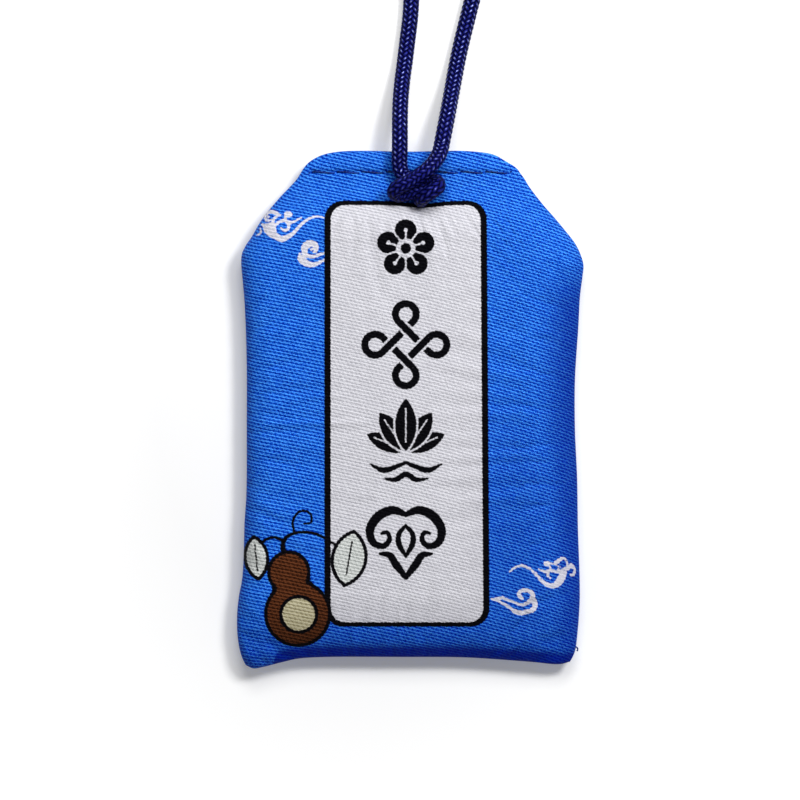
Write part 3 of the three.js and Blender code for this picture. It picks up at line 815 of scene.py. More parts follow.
def settled_puckers(form):
    """How high the puckers stand: the sheet's rise less its own smoothed self, held under a cap."""
    rows = np.linspace(0, form.shape[0] - 1, settle_rows).astype(int)
    columns = np.linspace(0, form.shape[1] - 1, settle_columns).astype(int)
    part = np.ix_(rows, columns)
    slim = rim[part] + (form[part] - rim[part]) * settle_start
    points = np.stack([plan_x[part], plan_y[part], slim], axis=-1)
    index = np.arange(slim.size).reshape(slim.shape)
    sheet = new_piece("settling_cloth", points.reshape(-1, 3) * settle_scale, [grid_faces(index, False)])
    held = np.ones(slim.shape, bool)
    held[settle_margin:-settle_margin, settle_margin:-settle_margin] = False
    held |= points[..., 1] > settle_hem
    sheet.vertex_groups.new(name="held").add(index[held].tolist(), 1.0, "REPLACE")
    cloth = sheet.modifiers.new("cloth", "CLOTH")
    cloth.settings.vertex_group_mass = "held"
    cloth.settings.use_pressure = True
    cloth.settings.uniform_pressure_force = settle_pressure
    cloth.settings.shrink_min = -settle_slack
    cloth.settings.effector_weights.gravity = 0.0
    cloth.point_cache.frame_end = settle_frames
    for frame_number in range(1, settle_frames + 1):
        bpy.context.scene.frame_set(frame_number)
    settled = sheet.evaluated_get(bpy.context.evaluated_depsgraph_get()).data
    places = np.empty(3 * len(settled.vertices), np.float32)
    settled.vertices.foreach_get("co", places)
    bpy.data.objects.remove(sheet)
    bpy.context.scene.frame_set(1)
    risen = places.reshape(points.shape)[..., 2] / (MM * settle_scale) - slim
    broad = risen
    for _ in range(settle_blurs):
        broad = smoothed(broad)
    puckers = pucker_cap * np.tanh((risen - broad) / pucker_cap)
    return cubic_weights(form.shape[0], rows) @ puckers @ cubic_weights(form.shape[1], columns).T


# The pouch's mesh. Its front and back are two grids of points that share their edges, and its UV map
# holds the cloth's own coordinates, which run on from the front over the fold to the back.


def cloth_lengths(x, y, height):
    """The cloth's own coordinates, in millimetres along it from the middle column and row."""
    middle_row, middle_column = (count // 2 for count in x.shape)
    steps_across = np.hypot(np.diff(x, axis=1), np.diff(height, axis=1))
    across = np.concatenate([np.zeros((len(x), 1)), np.cumsum(steps_across, axis=1)], axis=1)
    across = across - across[:, middle_column, None] + x[:, middle_column, None]
    steps_up = np.hypot(np.diff(y, axis=0), np.diff(height, axis=0))
    up = np.concatenate([np.zeros((1, x.shape[1])), np.cumsum(steps_up, axis=0)], axis=0)
    up = up - up[None, middle_row] + y[None, middle_row]
    return across, up


front_form, front_dents = pouch_front()
front_height = front_form + front_dents
front_height = front_height + settled_puckers(front_form)
back_height = pouch_back()
front_x, front_y = drawn_in(front_height)
back_x, back_y = drawn_in(back_height)
front_across, front_up = cloth_lengths(front_x, front_y, front_form)
back_across, back_up = cloth_lengths(back_x, back_y, back_height)
back_up = front_up[:1] - (back_up - back_up[:1])

front_index = np.arange(front_x.size).reshape(front_x.shape)
back_index = front_index.copy()
inner_shape = back_index[1:-1, 1:-1].shape
back_index[1:-1, 1:-1] = front_x.size + np.arange(math.prod(inner_shape)).reshape(inner_shape)
front_points = np.stack([front_x, front_y, front_height], axis=-1).reshape(-1, 3)
back_points = np.stack([back_x, back_y, back_height], axis=-1)[1:-1, 1:-1].reshape(-1, 3)
front_faces = grid_faces(front_index, False)
back_faces = grid_faces(back_index, True)
front_cloth = np.stack([front_across, front_up], axis=-1).reshape(-1, 2)
back_cloth = np.stack([back_across, back_up], axis=-1).reshape(-1, 2)
pouch = new_piece(
    "pouch",
    np.concatenate([front_points, back_points]),
    [np.concatenate([front_faces, back_faces])],
    {"cloth": np.concatenate([front_cloth[front_faces], back_cloth[grid_faces(front_index, True)]])},
)


# The woven picture. A second set of wefts floats on the face of the cloth wherever the picture is
# white, black or brown. Each field below is a distance to the edge of a shape, less than 0 inside it,
# and has the value outside where the shape is far away.
outside = 9.0
stroke_step = 0.04
stroke_margin = 1.0


def disc(x, y, place, radius):
    """Distance to the edge of a disc."""
    return np.hypot(x - place[0], y - place[1]) - radius


def brush_stroke(x, y, places):
    """Distance to the edge of a stroke. Its places are (x, y, half width), and it is all the discs of
    those widths along the smooth line through them. It is worked out near the stroke only."""
    line = line_through(places, stroke_step)
    margin = line[:, 2].max() + stroke_margin
    field = np.full(x.shape, outside)
    near = (x > line[:, 0].min() - margin) & (x < line[:, 0].max() + margin)
    near &= (y > line[:, 1].min() - margin) & (y < line[:, 1].max() + margin)
    near_x, near_y = x[near], y[near]
    best = np.full(near_x.shape, outside)
    for place_x, place_y, half_width in line:
        best = np.minimum(best, np.hypot(near_x - place_x, near_y - place_y) - half_width)
    field[near] = best
    return field


# The two pairs of scrolling clouds, white on the blue. Their strokes are drawn on two sheets, from a
# sheet's upper left corner downwards, as (x, y, half width) in units. Each sheet has the place of that
# corner and the units in a millimetre.
upper_sheet = (-19.41, 24.65, 148.1)
upper_clouds = [
    [(620, 268, 18), (565, 245, 24), (500, 215, 30), (435, 205, 26), (380, 245, 20), (352, 300, 22),
     (370, 352, 20), (420, 368, 14), (455, 345, 10)],
    [(412, 298, 20), (414, 300, 20)],
    [(560, 290, 22), (515, 325, 20), (490, 380, 26), (480, 430, 40)],
    [(300, 425, 16), (370, 470, 50), (440, 520, 98), (480, 590, 72), (560, 650, 52), (650, 690, 48),
     (740, 655, 40), (830, 600, 30), (900, 530, 25), (960, 460, 23), (1030, 395, 22),
     (1110, 338, 19), (1200, 305, 16), (1300, 298, 14), (1395, 325, 11)],
    [(735, 250, 48), (780, 258, 46)],
    [(712, 290, 22), (710, 340, 20), (712, 375, 22)],
    [(540, 440, 26), (600, 390, 24), (690, 365, 24), (770, 395, 22), (850, 392, 17), (920, 350, 14),
     (985, 315, 11)],
    [(745, 400, 24), (772, 460, 22), (745, 520, 24), (690, 540, 20), (645, 510, 14), (632, 480, 9)],
    [(262, 505, 14), (282, 545, 14), (262, 590, 15), (205, 622, 9)],
    [(1238, 892, 30), (1238, 815, 46), (1180, 770, 54), (1105, 778, 60), (1052, 825, 60),
     (1040, 895, 50), (1045, 960, 44)],
    [(1238, 892, 30), (1205, 912, 18)],
    [(1165, 872, 20), (1190, 862, 14)],
    [(958, 950, 16), (975, 1030, 48), (1035, 1085, 58), (1110, 1125, 48), (1190, 1138, 38),
     (1270, 1110, 30), (1340, 1075, 22), (1410, 1035, 13)],
    [(1045, 965, 36), (1110, 985, 28), (1190, 995, 26), (1270, 972, 24), (1340, 948, 20),
     (1405, 932, 14)],
]
right_sheet = (8.82, -16.53, 133.3)
right_clouds = [
    [(380, 335, 9), (440, 280, 13), (505, 250, 15), (570, 235, 17), (640, 260, 15), (705, 290, 16),
     (765, 345, 20), (830, 415, 22), (900, 490, 26), (980, 540, 30), (1065, 555, 36), (1130, 520, 50),
     (1190, 440, 58), (1230, 360, 46)],
    [(950, 205, 36), (985, 205, 36)],
    [(995, 235, 20), (1012, 300, 18)],
    [(835, 285, 8), (895, 318, 17), (960, 335, 20), (1035, 310, 22), (1100, 335, 22), (1170, 330, 26)],
    [(988, 335, 18), (980, 385, 20), (1000, 425, 16), (1030, 440, 9)],
    [(1092, 205, 28), (1135, 175, 28), (1205, 125, 20), (1262, 148, 15), (1285, 200, 13),
     (1270, 262, 12), (1230, 300, 18)],
    [(1158, 240, 14), (1162, 300, 18)],
    [(1275, 300, 22), (1335, 250, 30), (1358, 205, 8)],
    [(1355, 240, 22), (1398, 285, 17), (1402, 345, 16), (1378, 388, 22), (1325, 385, 9)],
    [(98, 760, 12), (180, 762, 26), (260, 738, 20), (335, 765, 17), (430, 800, 18), (520, 840, 20),
     (600, 845, 22), (665, 815, 26), (705, 775, 30)],
    [(180, 780, 14), (260, 822, 16), (350, 872, 20), (430, 930, 24), (500, 970, 34), (585, 975, 34),
     (660, 955, 32), (735, 935, 34), (775, 880, 36), (775, 810, 36), (745, 760, 34)],
    [(572, 748, 26), (528, 705, 26), (525, 668, 24), (562, 632, 26), (630, 620, 28), (700, 640, 28),
     (742, 685, 32), (735, 745, 40)],
]
cloud_swell = 0.02


def cloud_field(x, y):
    """Distance to the edge of the nearest cloud's stroke."""
    field = np.full(x.shape, outside)
    for (left, top, scale), strokes in ((upper_sheet, upper_clouds), (right_sheet, right_clouds)):
        for stroke in strokes:
            units = np.array(stroke, float) / scale
            places = np.stack([left + units[:, 0], top - units[:, 1], units[:, 2] + cloud_swell], axis=1)
            field = np.minimum(field, brush_stroke(x, y, places))
    return field


# The label's column of four good-luck ornaments, black on the pale cloth: a plum blossom, a lucky knot
# of one cord, a lotus and the head of a cloud sceptre.
blossom_place = (-0.5, 18.9)
petal_count = 5
petal_offset = 2.2
petal_radius = 1.28
petal_gap = 0.2
blossom_heart = 0.62
heart_ring = 1.12
stamen_reach = 2.15
stamen_width = 0.2
stamen_head = 0.24


def blossom_field(x, y):
    """Distance to the edge of a five-petalled blossom: discs set round a ring, with gaps between
    them, a pale ring round a dark heart, and a pale stamen up the middle of each petal."""
    x, y = x - blossom_place[0], y - blossom_place[1]
    sector = 2 * math.pi / petal_count
    turn = np.arctan2(x, y)
    folded = (turn + sector / 2) % sector - sector / 2
    far = np.hypot(x, y)
    beside, outward = far * np.sin(folded), far * np.cos(folded)
    petal = np.hypot(beside, outward - petal_offset) - petal_radius
    gap = petal_gap / 2 - far * np.sin(sector / 2 - np.abs(folded))
    stamen = np.minimum(stamen_width / 2 - np.abs(beside), stamen_reach - outward)
    tip = stamen_head - np.hypot(beside, outward - stamen_reach)
    petal = np.maximum(np.maximum(petal, gap), np.maximum(stamen, tip))
    petal = np.maximum(petal, heart_ring - far)
    return np.minimum(petal, far - blossom_heart)


lucky_place = (-0.5, 7.6)
lucky_pass = 1.32
lucky_cord = 0.42
lucky_loop = 1.22
lucky_gap = 0.24


def lucky_knot_field(x, y):
    """Distance to the edge of a cord that crosses itself two by two and loops at all four corners.
    It is drawn square and turned by an eighth. Where two passes cross, the lower one stops short."""
    x, y = x - lucky_place[0], y - lucky_place[1]
    a, b = (x + y) * math.sqrt(0.5), (y - x) * math.sqrt(0.5)
    corner = lucky_pass + lucky_loop
    up = np.abs(np.abs(a) - lucky_pass)
    over = np.abs(np.abs(b) - lucky_pass)
    up_is_over = np.sign(a) * np.sign(b) > 0
    up_band = np.maximum(up - lucky_cord, np.abs(b) - corner)
    over_band = np.maximum(over - lucky_cord, np.abs(a) - corner)
    cleared_up = np.maximum(up_band, lucky_cord + lucky_gap - over)
    cleared_over = np.maximum(over_band, lucky_cord + lucky_gap - up)
    crossing = np.where(up_is_over, np.minimum(up_band, cleared_over), np.minimum(over_band, cleared_up))
    from_corner_a, from_corner_b = np.abs(a) - corner, np.abs(b) - corner
    ring = np.abs(np.hypot(from_corner_a, from_corner_b) - lucky_loop) - lucky_cord
    ring = np.where((from_corner_a < 0) & (from_corner_b < 0), outside, ring)
    return np.minimum(crossing, ring)


lotus_place = (-0.5, -4.9)
lotus_petals = [(0, 6.2, 1.25), (34, 5.5, 1.15), (-34, 5.5, 1.15), (66, 5.0, 1.0), (-66, 5.0, 1.0)]
lotus_gap = 0.22
lotus_vein = 0.08
lotus_leaves = [
    [(-4.2, -1.5, 0.1), (-2.6, -2.2, 0.34), (-0.9, -1.7, 0.26), (0.0, -1.3, 0.2)],
    [(4.2, -1.5, 0.1), (2.6, -2.2, 0.34), (0.9, -1.7, 0.26), (0.0, -1.3, 0.2)],
    [(-2.6, -3.2, 0.1), (-1.2, -3.3, 0.3), (0.0, -2.7, 0.34), (1.2, -3.3, 0.3), (2.6, -3.2, 0.1)],
]


def pointed_leaf(x, y, place, lean, length, half_width):
    """Distance to the edge of a leaf with two pointed ends, the space that two large discs share. It
    stands on a place and leans by an angle in degrees. Also the distance from its vein, which runs
    along the middle two thirds of its length."""
    angle = math.radians(lean)
    along = (x - place[0]) * math.sin(angle) + (y - place[1]) * math.cos(angle)
    beside = (x - place[0]) * math.cos(angle) - (y - place[1]) * math.sin(angle)
    radius = ((length / 2) ** 2 + half_width**2) / (2 * half_width)
    reach = np.hypot(np.abs(beside) + radius - half_width, along - length / 2)
    return reach - radius, np.abs(beside) + np.where(np.abs(along - length / 2) > length / 3, outside, 0)


def lotus_field(x, y):
    """Distance to the edge of a lotus seen from the side: five leaves from one foot, each in front of
    the next and with a pale gap round it and a pale vein, on strokes for the water."""
    field = np.full(x.shape, outside)
    covered = np.full(x.shape, outside)
    for lean, length, half_width in lotus_petals:
        petal, vein = pointed_leaf(x, y, lotus_place, lean, length, half_width)
        shown = np.maximum(np.maximum(petal, lotus_gap - covered), lotus_vein - vein)
        field = np.minimum(field, shown)
        covered = np.minimum(covered, petal)
    for stroke in lotus_leaves:
        places = np.array(stroke) + [*lotus_place, 0]
        field = np.minimum(field, brush_stroke(x, y, places))
    return field


sceptre_place = (-0.5, -15.8)
sceptre_strokes = [
    [(0.0, 3.5, 0.3), (-1.5, 4.0, 0.5), (-3.2, 3.3, 0.56), (-4.2, 1.7, 0.52), (-3.8, 0.2, 0.44),
     (-2.6, -0.2, 0.36), (-1.9, 0.6, 0.3), (-2.2, 1.4, 0.26), (-2.8, 1.3, 0.2)],
    [(-3.0, -1.1, 0.2), (-1.9, -1.3, 0.4), (-1.2, -2.3, 0.46), (0.0, -3.9, 0.3)],
    [(0.0, 2.2, 0.2), (-0.8, 1.2, 0.3), (-0.8, 0.1, 0.34), (0.0, -1.4, 0.2)],
]


def sceptre_field(x, y):
    """Distance to the edge of a cloud sceptre's head, whose strokes curl alike on both sides."""
    x, y = -np.abs(x - sceptre_place[0]), y - sceptre_place[1]
    return np.minimum.reduce([brush_stroke(x, y, stroke) for stroke in sceptre_strokes])


# The picture in the lower left corner: a brown bottle gourd, a good-luck fruit, lying on its vine with
# two pale leaves and a tendril, all woven with black outlines.
gourd_place = (-13.6, -22.0)
gourd_lean = 12.0
gourd_bulbs = [(0.0, -2.0, 3.75), (0.0, 3.0, 2.35)]
gourd_ease = 0.9
gourd_disc = (0.1, -2.1, 2.1)
picture_line = 0.42
vine_strokes = [
    [(-14.8, -16.9, 0.34), (-14.9, -15.7, 0.28), (-14.4, -14.9, 0.22), (-13.0, -14.4, 0.18),
     (-11.0, -14.6, 0.17), (-9.2, -15.6, 0.17), (-7.6, -16.6, 0.16)],
    [(-14.9, -15.4, 0.2), (-15.9, -15.0, 0.18), (-17.0, -15.3, 0.17), (-17.9, -16.2, 0.16)],
    [(-13.6, -14.5, 0.16), (-13.7, -12.9, 0.15), (-12.8, -11.9, 0.15), (-11.7, -12.2, 0.14),
     (-11.6, -13.2, 0.13), (-12.4, -13.4, 0.12)],
]
gourd_leaves = [((-7.7, -20.6), 10, 6.4, 1.95), ((-17.8, -19.9), -6, 5.0, 1.35)]
leaf_vein = 0.1


def eased_least(first, second, ease):
    """The smaller of two distances, with the crease between them filled over a width of ease."""
    near = np.clip(0.5 + (second - first) / (2 * ease), 0, 1)
    return second + (first - second) * near - ease * near * (1 - near)


def gourd_fields(x, y):
    """Distances to the edges of the gourd's body, of the disc on it, of its leaves and of its lines."""
    angle = math.radians(gourd_lean)
    beside = (x - gourd_place[0]) * math.cos(angle) + (y - gourd_place[1]) * math.sin(angle)
    along = (y - gourd_place[1]) * math.cos(angle) - (x - gourd_place[0]) * math.sin(angle)
    bulbs = [disc(beside, along, bulb[:2], bulb[2]) for bulb in gourd_bulbs]
    body = eased_least(*bulbs, gourd_ease)
    patch = disc(beside, along, gourd_disc[:2], gourd_disc[2])
    leaf_parts = [pointed_leaf(x, y, *leaf) for leaf in gourd_leaves]
    leaf = np.minimum.reduce([part[0] for part in leaf_parts])
    vein = np.minimum.reduce([part[1] for part in leaf_parts])
    vine = np.minimum.reduce([brush_stroke(x, y, stroke) for stroke in vine_strokes])
    lines = np.minimum.reduce([body - picture_line / 2, leaf - picture_line / 2, vine])
    brown = np.maximum(body + picture_line / 2, picture_line / 2 - np.abs(patch))
    pale = np.maximum(leaf + picture_line / 2, leaf_vein - vein)
    return brown, patch + picture_line / 2, pale, lines


# The label. A pale panel with round corners and a black border is woven up the middle of the front. Its
# right edge leans out a little towards the bottom, and the cord's first hole pulls the picture down
# around it. Each field is kept as an attribute of the pouch.
label_box = (-10.05, 8.99, -25.48, 24.54)
label_corner = 2.2
border_side = 0.75
border_end = 0.53
label_lean = 0.35
knot_pull = 0.35
knot_pull_spread = 2.4


def picture_place(x, y):
    """Where a point of the cloth is in the picture, which the cord's first hole pulls down by up to
    knot_pull, fading as a bell curve."""
    return x, y + knot_pull * hollow(x, y, cord_holes[0], knot_pull_spread)


def rounded_box(x, y, box, corner):
    """Distance to the edge of a rectangle (left, right, bottom, top) with round corners."""
    left, right, bottom, top = box
    beside = np.abs(x - (left + right) / 2) - (right - left) / 2 + corner
    above = np.abs(y - (bottom + top) / 2) - (top - bottom) / 2 + corner
    out = np.hypot(np.maximum(beside, 0), np.maximum(above, 0))
    return out + np.minimum(np.maximum(beside, above), 0) - corner


picture_x, picture_y = picture_place(plan_x, plan_y)
lean_share = np.clip((label_box[3] - picture_y) / (label_box[3] - label_box[2]), 0, 1)
leant_x = picture_x - label_lean * lean_share * (picture_x > 0)
label_edge = rounded_box(leant_x, picture_y, label_box, label_corner)
inner_box = np.add(label_box, (border_side, -border_side, border_end, -border_end))
inner_edge = rounded_box(leant_x, picture_y, inner_box, label_corner - border_end)
brown_edge, cream_edge, pale_edge, line_edge = gourd_fields(picture_x, picture_y)
ornament_edge = np.minimum.reduce(
    [
        blossom_field(picture_x, picture_y),
        lucky_knot_field(picture_x, picture_y),
        lotus_field(picture_x, picture_y),
        sceptre_field(picture_x, picture_y),
    ]
)
black_edge = np.minimum(ornament_edge, line_edge)
cloud_edge = cloud_field(picture_x, picture_y)
picture_fields = {
    "label_edge": label_edge,
    "inner_edge": inner_edge,
    "cloud_edge": cloud_edge,
    "black_edge": black_edge,
    "brown_edge": brown_edge,
    "cream_edge": cream_edge,
    "pale_edge": pale_edge,
}
for field_name, field in picture_fields.items():
    keep_values(pouch, field_name, field, outside)


# Painted shade: along both sides, over the fold, along the bottom and over the lower right half the
# colour falls towards the weave's dark level, standing in for the shade there. Where the cloth is
# turned hard at its seams and fold its floats also spread apart a little and show the dark warp
# between them. Each place has the distances at which the painted shade is full and gone, and its share.
edge_shade_left = (0.0, 1.3, 0.3)
edge_shade_right = (0.3, 6.0, 0.66)
edge_shade_fold = (0.9, 2.1, 0.9)
edge_shade_toe = (0.8, 8.5, 0.48)
edge_shade_heel = (14.0, 41.0, 0.32)
side_fade = (12.0, 19.0)
heel_side = (4.0, 12.0)
ear_distance = 9.0
below_shoulders = 1 - eased(plan_y, *side_fade)
on_right = eased(plan_x, *heel_side)
past_ear = ear_distance * (1 - eased(plan_x, *ear_edge))
painted_edge_shade_parts = [
    share * place * (1 - eased(distance, start, end))
    for distance, place, (start, end, share) in (
        (from_left, below_shoulders, edge_shade_left),
        (from_right, below_shoulders, edge_shade_right),
        (from_fold + past_ear, 1.0, edge_shade_fold),
        (from_fold, 1.0, edge_shade_toe),
        (from_fold, on_right, edge_shade_heel),
    )
]
keep_values(pouch, "painted_edge_shade", np.maximum.reduce(painted_edge_shade_parts))


# The brocade's finish: a satin of blue polyester. Its floats lie in rows that climb a little to the
# left, and the colours of the picture take turns on the face in the same weave. Each pair of counts is
# the turns of a wave in a millimetre across the cloth and up it, and a bend is how the first changes.
rows_per_mm = (0.664, 2.5)
rows_bend = 0.0053
floats_per_mm = (2.08, 0.855)
floats_bend = 0.0033
row_wave = 0.95
float_wave = 0.33
slot_wave = -0.36
cross_wave = -0.14
yarn_chance = 0.4
fuzz_scale = 11.0
fuzz_share = 8.5
slot_shade_level = -1.25
crown_highlight_level = 1.6
wobble_scale = 0.9
wobble_share = 0.16
stray_scale = 3.2
stray_share = 0.18
edge_softness = 0.03
saw_tooth = 0.06
cloth_roughness = 0.5
cloth_gloss = 0.02
cloth_metallic = 0.15
weave_relief = 0.06
relief_strength = 0.7
# Each part of the picture: painted shade for the slots, its own colour, painted highlight for the crowns.
cloth_colours = {
    "ground": (srgb(0, 8, 126), srgb(0, 83, 217), srgb(78, 166, 255)),
    "label": (srgb(164, 163, 173), srgb(210, 209, 216), srgb(226, 226, 232)),
    "cloud": (srgb(182, 181, 196), srgb(208, 207, 219), srgb(230, 229, 238)),
    "black": (srgb(0, 0, 1), srgb(2, 2, 5), srgb(16, 15, 20)),
    "brown": (srgb(14, 6, 3), srgb(74, 36, 17), srgb(112, 64, 38)),
    "cream": (srgb(126, 118, 88), srgb(192, 184, 150), srgb(214, 208, 180)),
    "pale": (srgb(146, 150, 150), srgb(204, 208, 205), srgb(226, 229, 227)),
}


def brocade_finish():
    """Paints the weave as a sum of waves: light along each row with a dark slot to the next, a little
    lighter where a float ends, where the slot is narrower too. The light on the crowns is a painted
    highlight and the dark in the slots a painted shade. The rows wander a little, each float is a little
    lighter or darker than the next, and its filaments are fuzzy. The three levels take the colours of
    the part of the picture that they lie in."""
    material, tree, shader = new_material("brocade", cloth_roughness, cloth_gloss, cloth_metallic)
    cloth = add_node(tree, "UVMap", uv_map="cloth").outputs[0]
    broad = add_node(tree, "TexNoise", {"Vector": cloth, "Scale": wobble_scale, "Detail": 1.0}).outputs[0]
    fine = add_node(tree, "TexNoise", {"Vector": cloth, "Scale": stray_scale, "Detail": 1.0}).outputs[0]
    place = add_node(tree, "SeparateXYZ", {0: cloth}).outputs

    def swing(noise, share):
        """A noise from 0 to 1 as a swing about 0, times a share."""
        return sums(tree, "MULTIPLY", sums(tree, "SUBTRACT", noise, 0.5), share)

    wobble = sums(tree, "ADD", swing(broad, wobble_share), swing(fine, stray_share))

    def counted(counts, bend):
        """The turns of a wave: the counts times the place in the cloth, plus the wobble."""
        slant = sums(tree, "ADD", sums(tree, "MULTIPLY", place[0], bend), counts[0])
        across = sums(tree, "MULTIPLY", place[0], slant)
        up = sums(tree, "MULTIPLY", place[1], counts[1])
        return sums(tree, "ADD", sums(tree, "ADD", across, up), wobble)

    def wave(turns, share):
        """A share of the cosine of the turns."""
        angle = sums(tree, "MULTIPLY", turns, 2 * math.pi)
        return sums(tree, "MULTIPLY", sums(tree, "COSINE", angle), share)

    def tooth(turns):
        """How far the turns are past the middle between two whole ones, from -0.5 to 0.5."""
        return sums(tree, "SUBTRACT", sums(tree, "FRACT", turns), 0.5)

    rows, floats = counted(rows_per_mm, rows_bend), counted(floats_per_mm, floats_bend)
    cross = sums(tree, "SUBTRACT", rows, floats)
    level = sums(tree, "ADD", wave(rows, row_wave), wave(floats, float_wave))
    level = sums(tree, "ADD", level, wave(sums(tree, "ADD", rows, cross), slot_wave))
    level = sums(tree, "ADD", level, wave(cross, cross_wave))
    row_number = sums(tree, "FLOOR", sums(tree, "ADD", rows, 0.5))
    float_number = sums(tree, "FLOOR", sums(tree, "ADD", floats, 0.5))
    cell = add_node(tree, "CombineXYZ", {0: row_number, 1: float_number}).outputs[0]
    chance = add_node(tree, "TexWhiteNoise", {"Vector": cell}, noise_dimensions="2D").outputs[0]
    fuzz = add_node(tree, "TexNoise", {"Vector": cloth, "Scale": fuzz_scale, "Detail": 2.0}).outputs[0]
    level = sums(tree, "ADD", level, sums(tree, "ADD", swing(chance, yarn_chance), swing(fuzz, fuzz_share)))
    # How far each point lies in the painted shade of a slot and in the painted highlight of a crown.
    dark = rescale(tree, level, 0.0, slot_shade_level)
    crown_highlight = rescale(tree, level, 0.0, crown_highlight_level)
    height = rescale(tree, level, slot_shade_level, crown_highlight_level)
    teeth = sums(tree, "ADD", tooth(rows), tooth(floats))
    saw = sums(tree, "MULTIPLY", teeth, saw_tooth)

    def inside(field):
        """1 inside a shape of the picture and 0 outside it, with an edge stepped by the weave."""
        value = add_node(tree, "Attribute", attribute_name=field).outputs["Fac"]
        value = sums(tree, "ADD", value, saw)
        return rescale(tree, value, edge_softness, -edge_softness)

    borders = [
        (inside("cloud_edge"), "cloud"),
        (inside("label_edge"), "black"),
        (inside("inner_edge"), "label"),
        (inside("black_edge"), "black"),
        (inside("brown_edge"), "brown"),
        (inside("pale_edge"), "pale"),
        (inside("cream_edge"), "cream"),
    ]
    levels = list(cloth_colours["ground"])
    for share, name in borders:
        levels = [
            blend_colours(tree, share, level, colour) for level, colour in zip(levels, cloth_colours[name])
        ]
    colour = blend_colours(tree, crown_highlight, blend_colours(tree, dark, levels[1], levels[0]), levels[2])
    # Painted shade: the colour is drawn towards the dark level as far as the attribute says.
    painted_edge_shade_share = add_node(tree, "Attribute", attribute_name="painted_edge_shade").outputs["Fac"]
    colour = blend_colours(tree, painted_edge_shade_share, colour, levels[0])
    tree.links.new(colour, shader.inputs["Base Color"])
    bump_inputs = {"Height": height, "Distance": weave_relief * MM, "Strength": relief_strength}
    tree.links.new(add_node(tree, "Bump", bump_inputs).outputs[0], shader.inputs["Normal"])
    return material


pouch.data.materials.append(brocade_finish())
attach(pouch, "pouch")
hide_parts("pouch_cloth")


# The sewing threads, two-ply polyester. The lockstitch at the mouth lies in the groove that it draws in
# the hem, and slants from one needle hole to the next. Its bobbin thread is the same on the back.
thread_radius = 0.105
thread_ply = 0.045
thread_twist = 0.7
thread_sides = 14
thread_step = 0.07
needle_over = 0.06
bobbin_over = -0.08
hole_depth = 0.7
stitch_slant = 0.1
needle_lead = 0.3
thread_colour = srgb(3, 42, 128)
thread_dark = srgb(0, 8, 52)
thread_roughness = 0.5
thread_gloss = 0.2
thread_metallic = 0.15
streaks_per_mm = 4.0
streak_limits = (0.35, 0.6)


def twisted_thread(name, places):
    """A thread through the places: its section has two lobes, which turn once in each thread_twist."""
    line = line_through(places, thread_step)
    sides = 2 * math.pi * np.arange(thread_sides) / thread_sides
    along = np.arange(len(line)) * thread_step
    lobes = np.abs(np.cos(sides[None] - 2 * math.pi * along[:, None] / thread_twist))
    rings = line[:, None] + outward_directions(line, thread_sides) * (
        thread_radius - thread_ply + thread_ply * lobes
    )[..., None]
    return new_tube(name, rings, along, 2)


def thread_finish():
    """Dyed blue, with short dark streaks of a fine noise."""
    material, tree, shader = new_material("thread", thread_roughness, thread_gloss, thread_metallic)
    place = add_node(tree, "TexCoord").outputs["Object"]
    noise_inputs = {"Vector": place, "Scale": streaks_per_mm / MM, "Detail": 1.0}
    streak = add_node(tree, "TexNoise", noise_inputs).outputs[0]
    colour = blend_colours(tree, rescale(tree, streak, *streak_limits), thread_dark, thread_colour)
    tree.links.new(colour, shader.inputs["Base Color"])
    return material


def mouth_places(heights, over, deep):
    """The places of a mouth thread. It lies on the cloth, whose heights it follows, dips into each
    needle hole and slants across to the next."""
    places = []
    for x in needle_places:
        for ahead, aside, lift in ((-1, -1, over), (0, 0, deep), (1, 1, over)):
            across, up = x + ahead * needle_lead, stitch_y + aside * stitch_slant
            nearest = np.argmin((plan_x - across) ** 2 + (plan_y - up) ** 2)
            places.append((across, up, heights.ravel()[nearest] + lift))
    return places


thread_look = thread_finish()


def sew(name, node, places):
    """Adds a thread through the places, which takes a CAD node's place and stays with the pouch."""
    stitches = twisted_thread(name, places)
    stitches.data.materials.append(thread_look)
    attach(stitches, "pouch")
    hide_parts(node)


needle_line = mouth_places(front_height, needle_over, needle_sink - hole_depth)
bobbin_line = mouth_places(back_height, bobbin_over, hole_depth)
sew("mouth_needle_stitches", "mouth_needle_thread", needle_line)
sew("mouth_bobbin_stitches", "mouth_bobbin_thread", bobbin_line)


# The running threads of the two side seams, which pass up and down through both turned-in lips inside
# the pouch. A loose end of the right one sticks out of the seam near the bottom.
seam_x = 18.05
seam_low, seam_high = -25.9, 15.7
seam_places = 14
seam_swing = 0.64
seam_lead = 0.125
loose_end = [
    (19.7, -28.45, 2.2), (19.75, -28.2, 2.3), (19.6, -27.98, 2.34), (19.2, -27.9, 2.34),
    (18.6, -27.9, 2.15), (18.05, -27.78, 1.7),
]
for name, node, side, start in (
    ("left_seam_stitches", "left_seam_thread", -1, []),
    ("right_seam_stitches", "right_seam_thread", 1, loose_end),
):
    places = list(start)
    for k, y in enumerate(np.linspace(seam_low, seam_high, seam_places)):
        swing = seam_swing if k % 2 else -seam_swing
        places.append((side * seam_x, y - seam_lead, rim_height + swing))
        places.append((side * seam_x, y + seam_lead, rim_height - swing))
    sew(name, node, places)


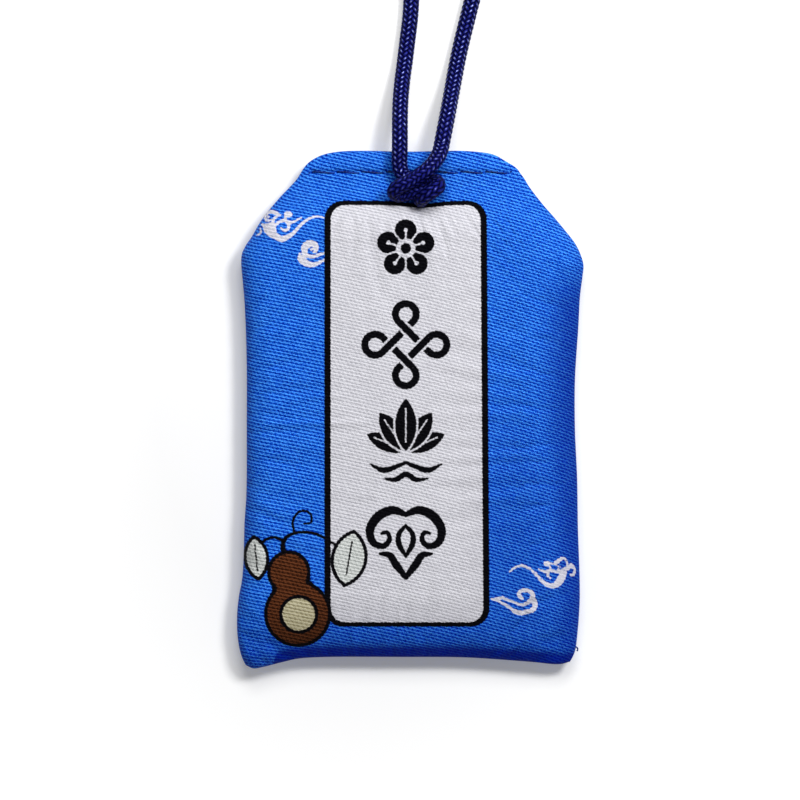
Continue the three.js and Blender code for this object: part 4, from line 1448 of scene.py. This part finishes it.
# The pieces inside the pouch keep their CAD shapes: a white foam pad with fine open cells, a grey card
# of pressed fibre, and the paper of the sleeve and of the folded slip. Each look has a light and a dark
# colour, the grains in a millimetre and the roughness.
inner_gloss = 0.3
grain_limits = (0.4, 0.62)
inner_looks = (
    ("foam", srgb(238, 237, 230), srgb(205, 203, 194), 2.5, 0.95),
    ("card", srgb(158, 150, 140), srgb(120, 112, 102), 0.9, 0.85),
    ("paper", srgb(246, 241, 228), srgb(232, 225, 208), 0.6, 0.8),
)
inner_pieces = {
    "foam": ["foam_pad"],
    "card": ["stiffener_card"],
    "paper": ["paper_sleeve", "blessing_slip"],
}
for name, light, dark, grains_per_mm, roughness in inner_looks:
    material, tree, shader = new_material(name, roughness, inner_gloss)
    place = add_node(tree, "TexCoord").outputs["Object"]
    noise_inputs = {"Vector": place, "Scale": grains_per_mm / MM, "Detail": 3.0}
    grain = add_node(tree, "TexNoise", noise_inputs).outputs[0]
    colour = blend_colours(tree, rescale(tree, grain, *grain_limits), dark, light)
    tree.links.new(colour, shader.inputs["Base Color"])
    for node in inner_pieces[name]:
        bpy.data.objects[node].material_slots[0].material = material


# The floor and the light. The table is pale, and a glow that grows outwards makes it white outside the
# shadow, for the camera and in reflections only. A broad lamp hangs over the upper edge, and a smaller
# one over the upper right throws the shadow.
floor_size = 3000.0
floor_drop = 0.02
floor_albedo = 0.8
floor_roughness = 0.9
floor_glow = (0.19, 1.0)
glow_reach = (30.0, 150.0)
world_strength = 0.13
floor_mesh = bpy.data.meshes.new("floor")
floor_half = floor_size / 2 * MM
floor_corners = [
    (x * floor_half, y * floor_half, -floor_drop * MM) for x, y in ((-1, -1), (1, -1), (1, 1), (-1, 1))
]
floor_mesh.from_pydata(floor_corners, [], [(0, 1, 2, 3)])
floor = bpy.data.objects.new("floor", floor_mesh)
bpy.context.scene.collection.objects.link(floor)
floor_finish, floor_tree, floor_shader = new_material("floor", floor_roughness, 0.0)
floor_shader.inputs["Base Color"].default_value = (floor_albedo, floor_albedo, floor_albedo, 1)
floor_shader.inputs["Emission Color"].default_value = (1, 1, 1, 1)


def background_rays(tree):
    """1 for the rays that show the background: the camera's own, reflected and let through."""
    path = add_node(tree, "LightPath").outputs
    reflected = sums(tree, "MAXIMUM", path["Is Glossy Ray"], path["Is Transmission Ray"])
    return sums(tree, "MAXIMUM", path["Is Camera Ray"], reflected)


floor_place = add_node(floor_tree, "TexCoord").outputs["Object"]
from_middle = add_node(floor_tree, "VectorMath", {0: floor_place}, operation="LENGTH").outputs["Value"]
glow = rescale(floor_tree, from_middle, glow_reach[0] * MM, glow_reach[1] * MM, *floor_glow)
floor_light = sums(floor_tree, "MULTIPLY", background_rays(floor_tree), glow)
floor_tree.links.new(floor_light, floor_shader.inputs["Emission Strength"])
floor_mesh.materials.append(floor_finish)

world = bpy.data.worlds.new("studio")
world.use_nodes = True
world_tree = world.node_tree
strength = blend_values(world_tree, background_rays(world_tree), world_strength, 1.0)
background = world_tree.nodes["Background"]
background.inputs[0].default_value = (1, 1, 1, 1)
world_tree.links.new(strength, background.inputs[1])
bpy.context.scene.world = world


def soft_lamp(name, place, size, power):
    """A square lamp at a place in millimetres, aimed at the middle of the pouch."""
    data = bpy.data.lights.new(name, "AREA")
    data.size = size * MM
    data.energy = power
    lamp = bpy.data.objects.new(name, data)
    lamp.location = [value * MM for value in place]
    lamp.rotation_mode = "QUATERNION"
    lamp.rotation_quaternion = (-lamp.location).to_track_quat("-Z", "Y")
    bpy.context.scene.collection.objects.link(lamp)


soft_lamp("upper_lamp", place=(0.0, 210.0, 280.0), size=160.0, power=0.6)
soft_lamp("upper_right_lamp", place=(165.0, 165.0, 310.0), size=95.0, power=1.08)
bpy.context.scene.view_settings.view_transform = "Standard"
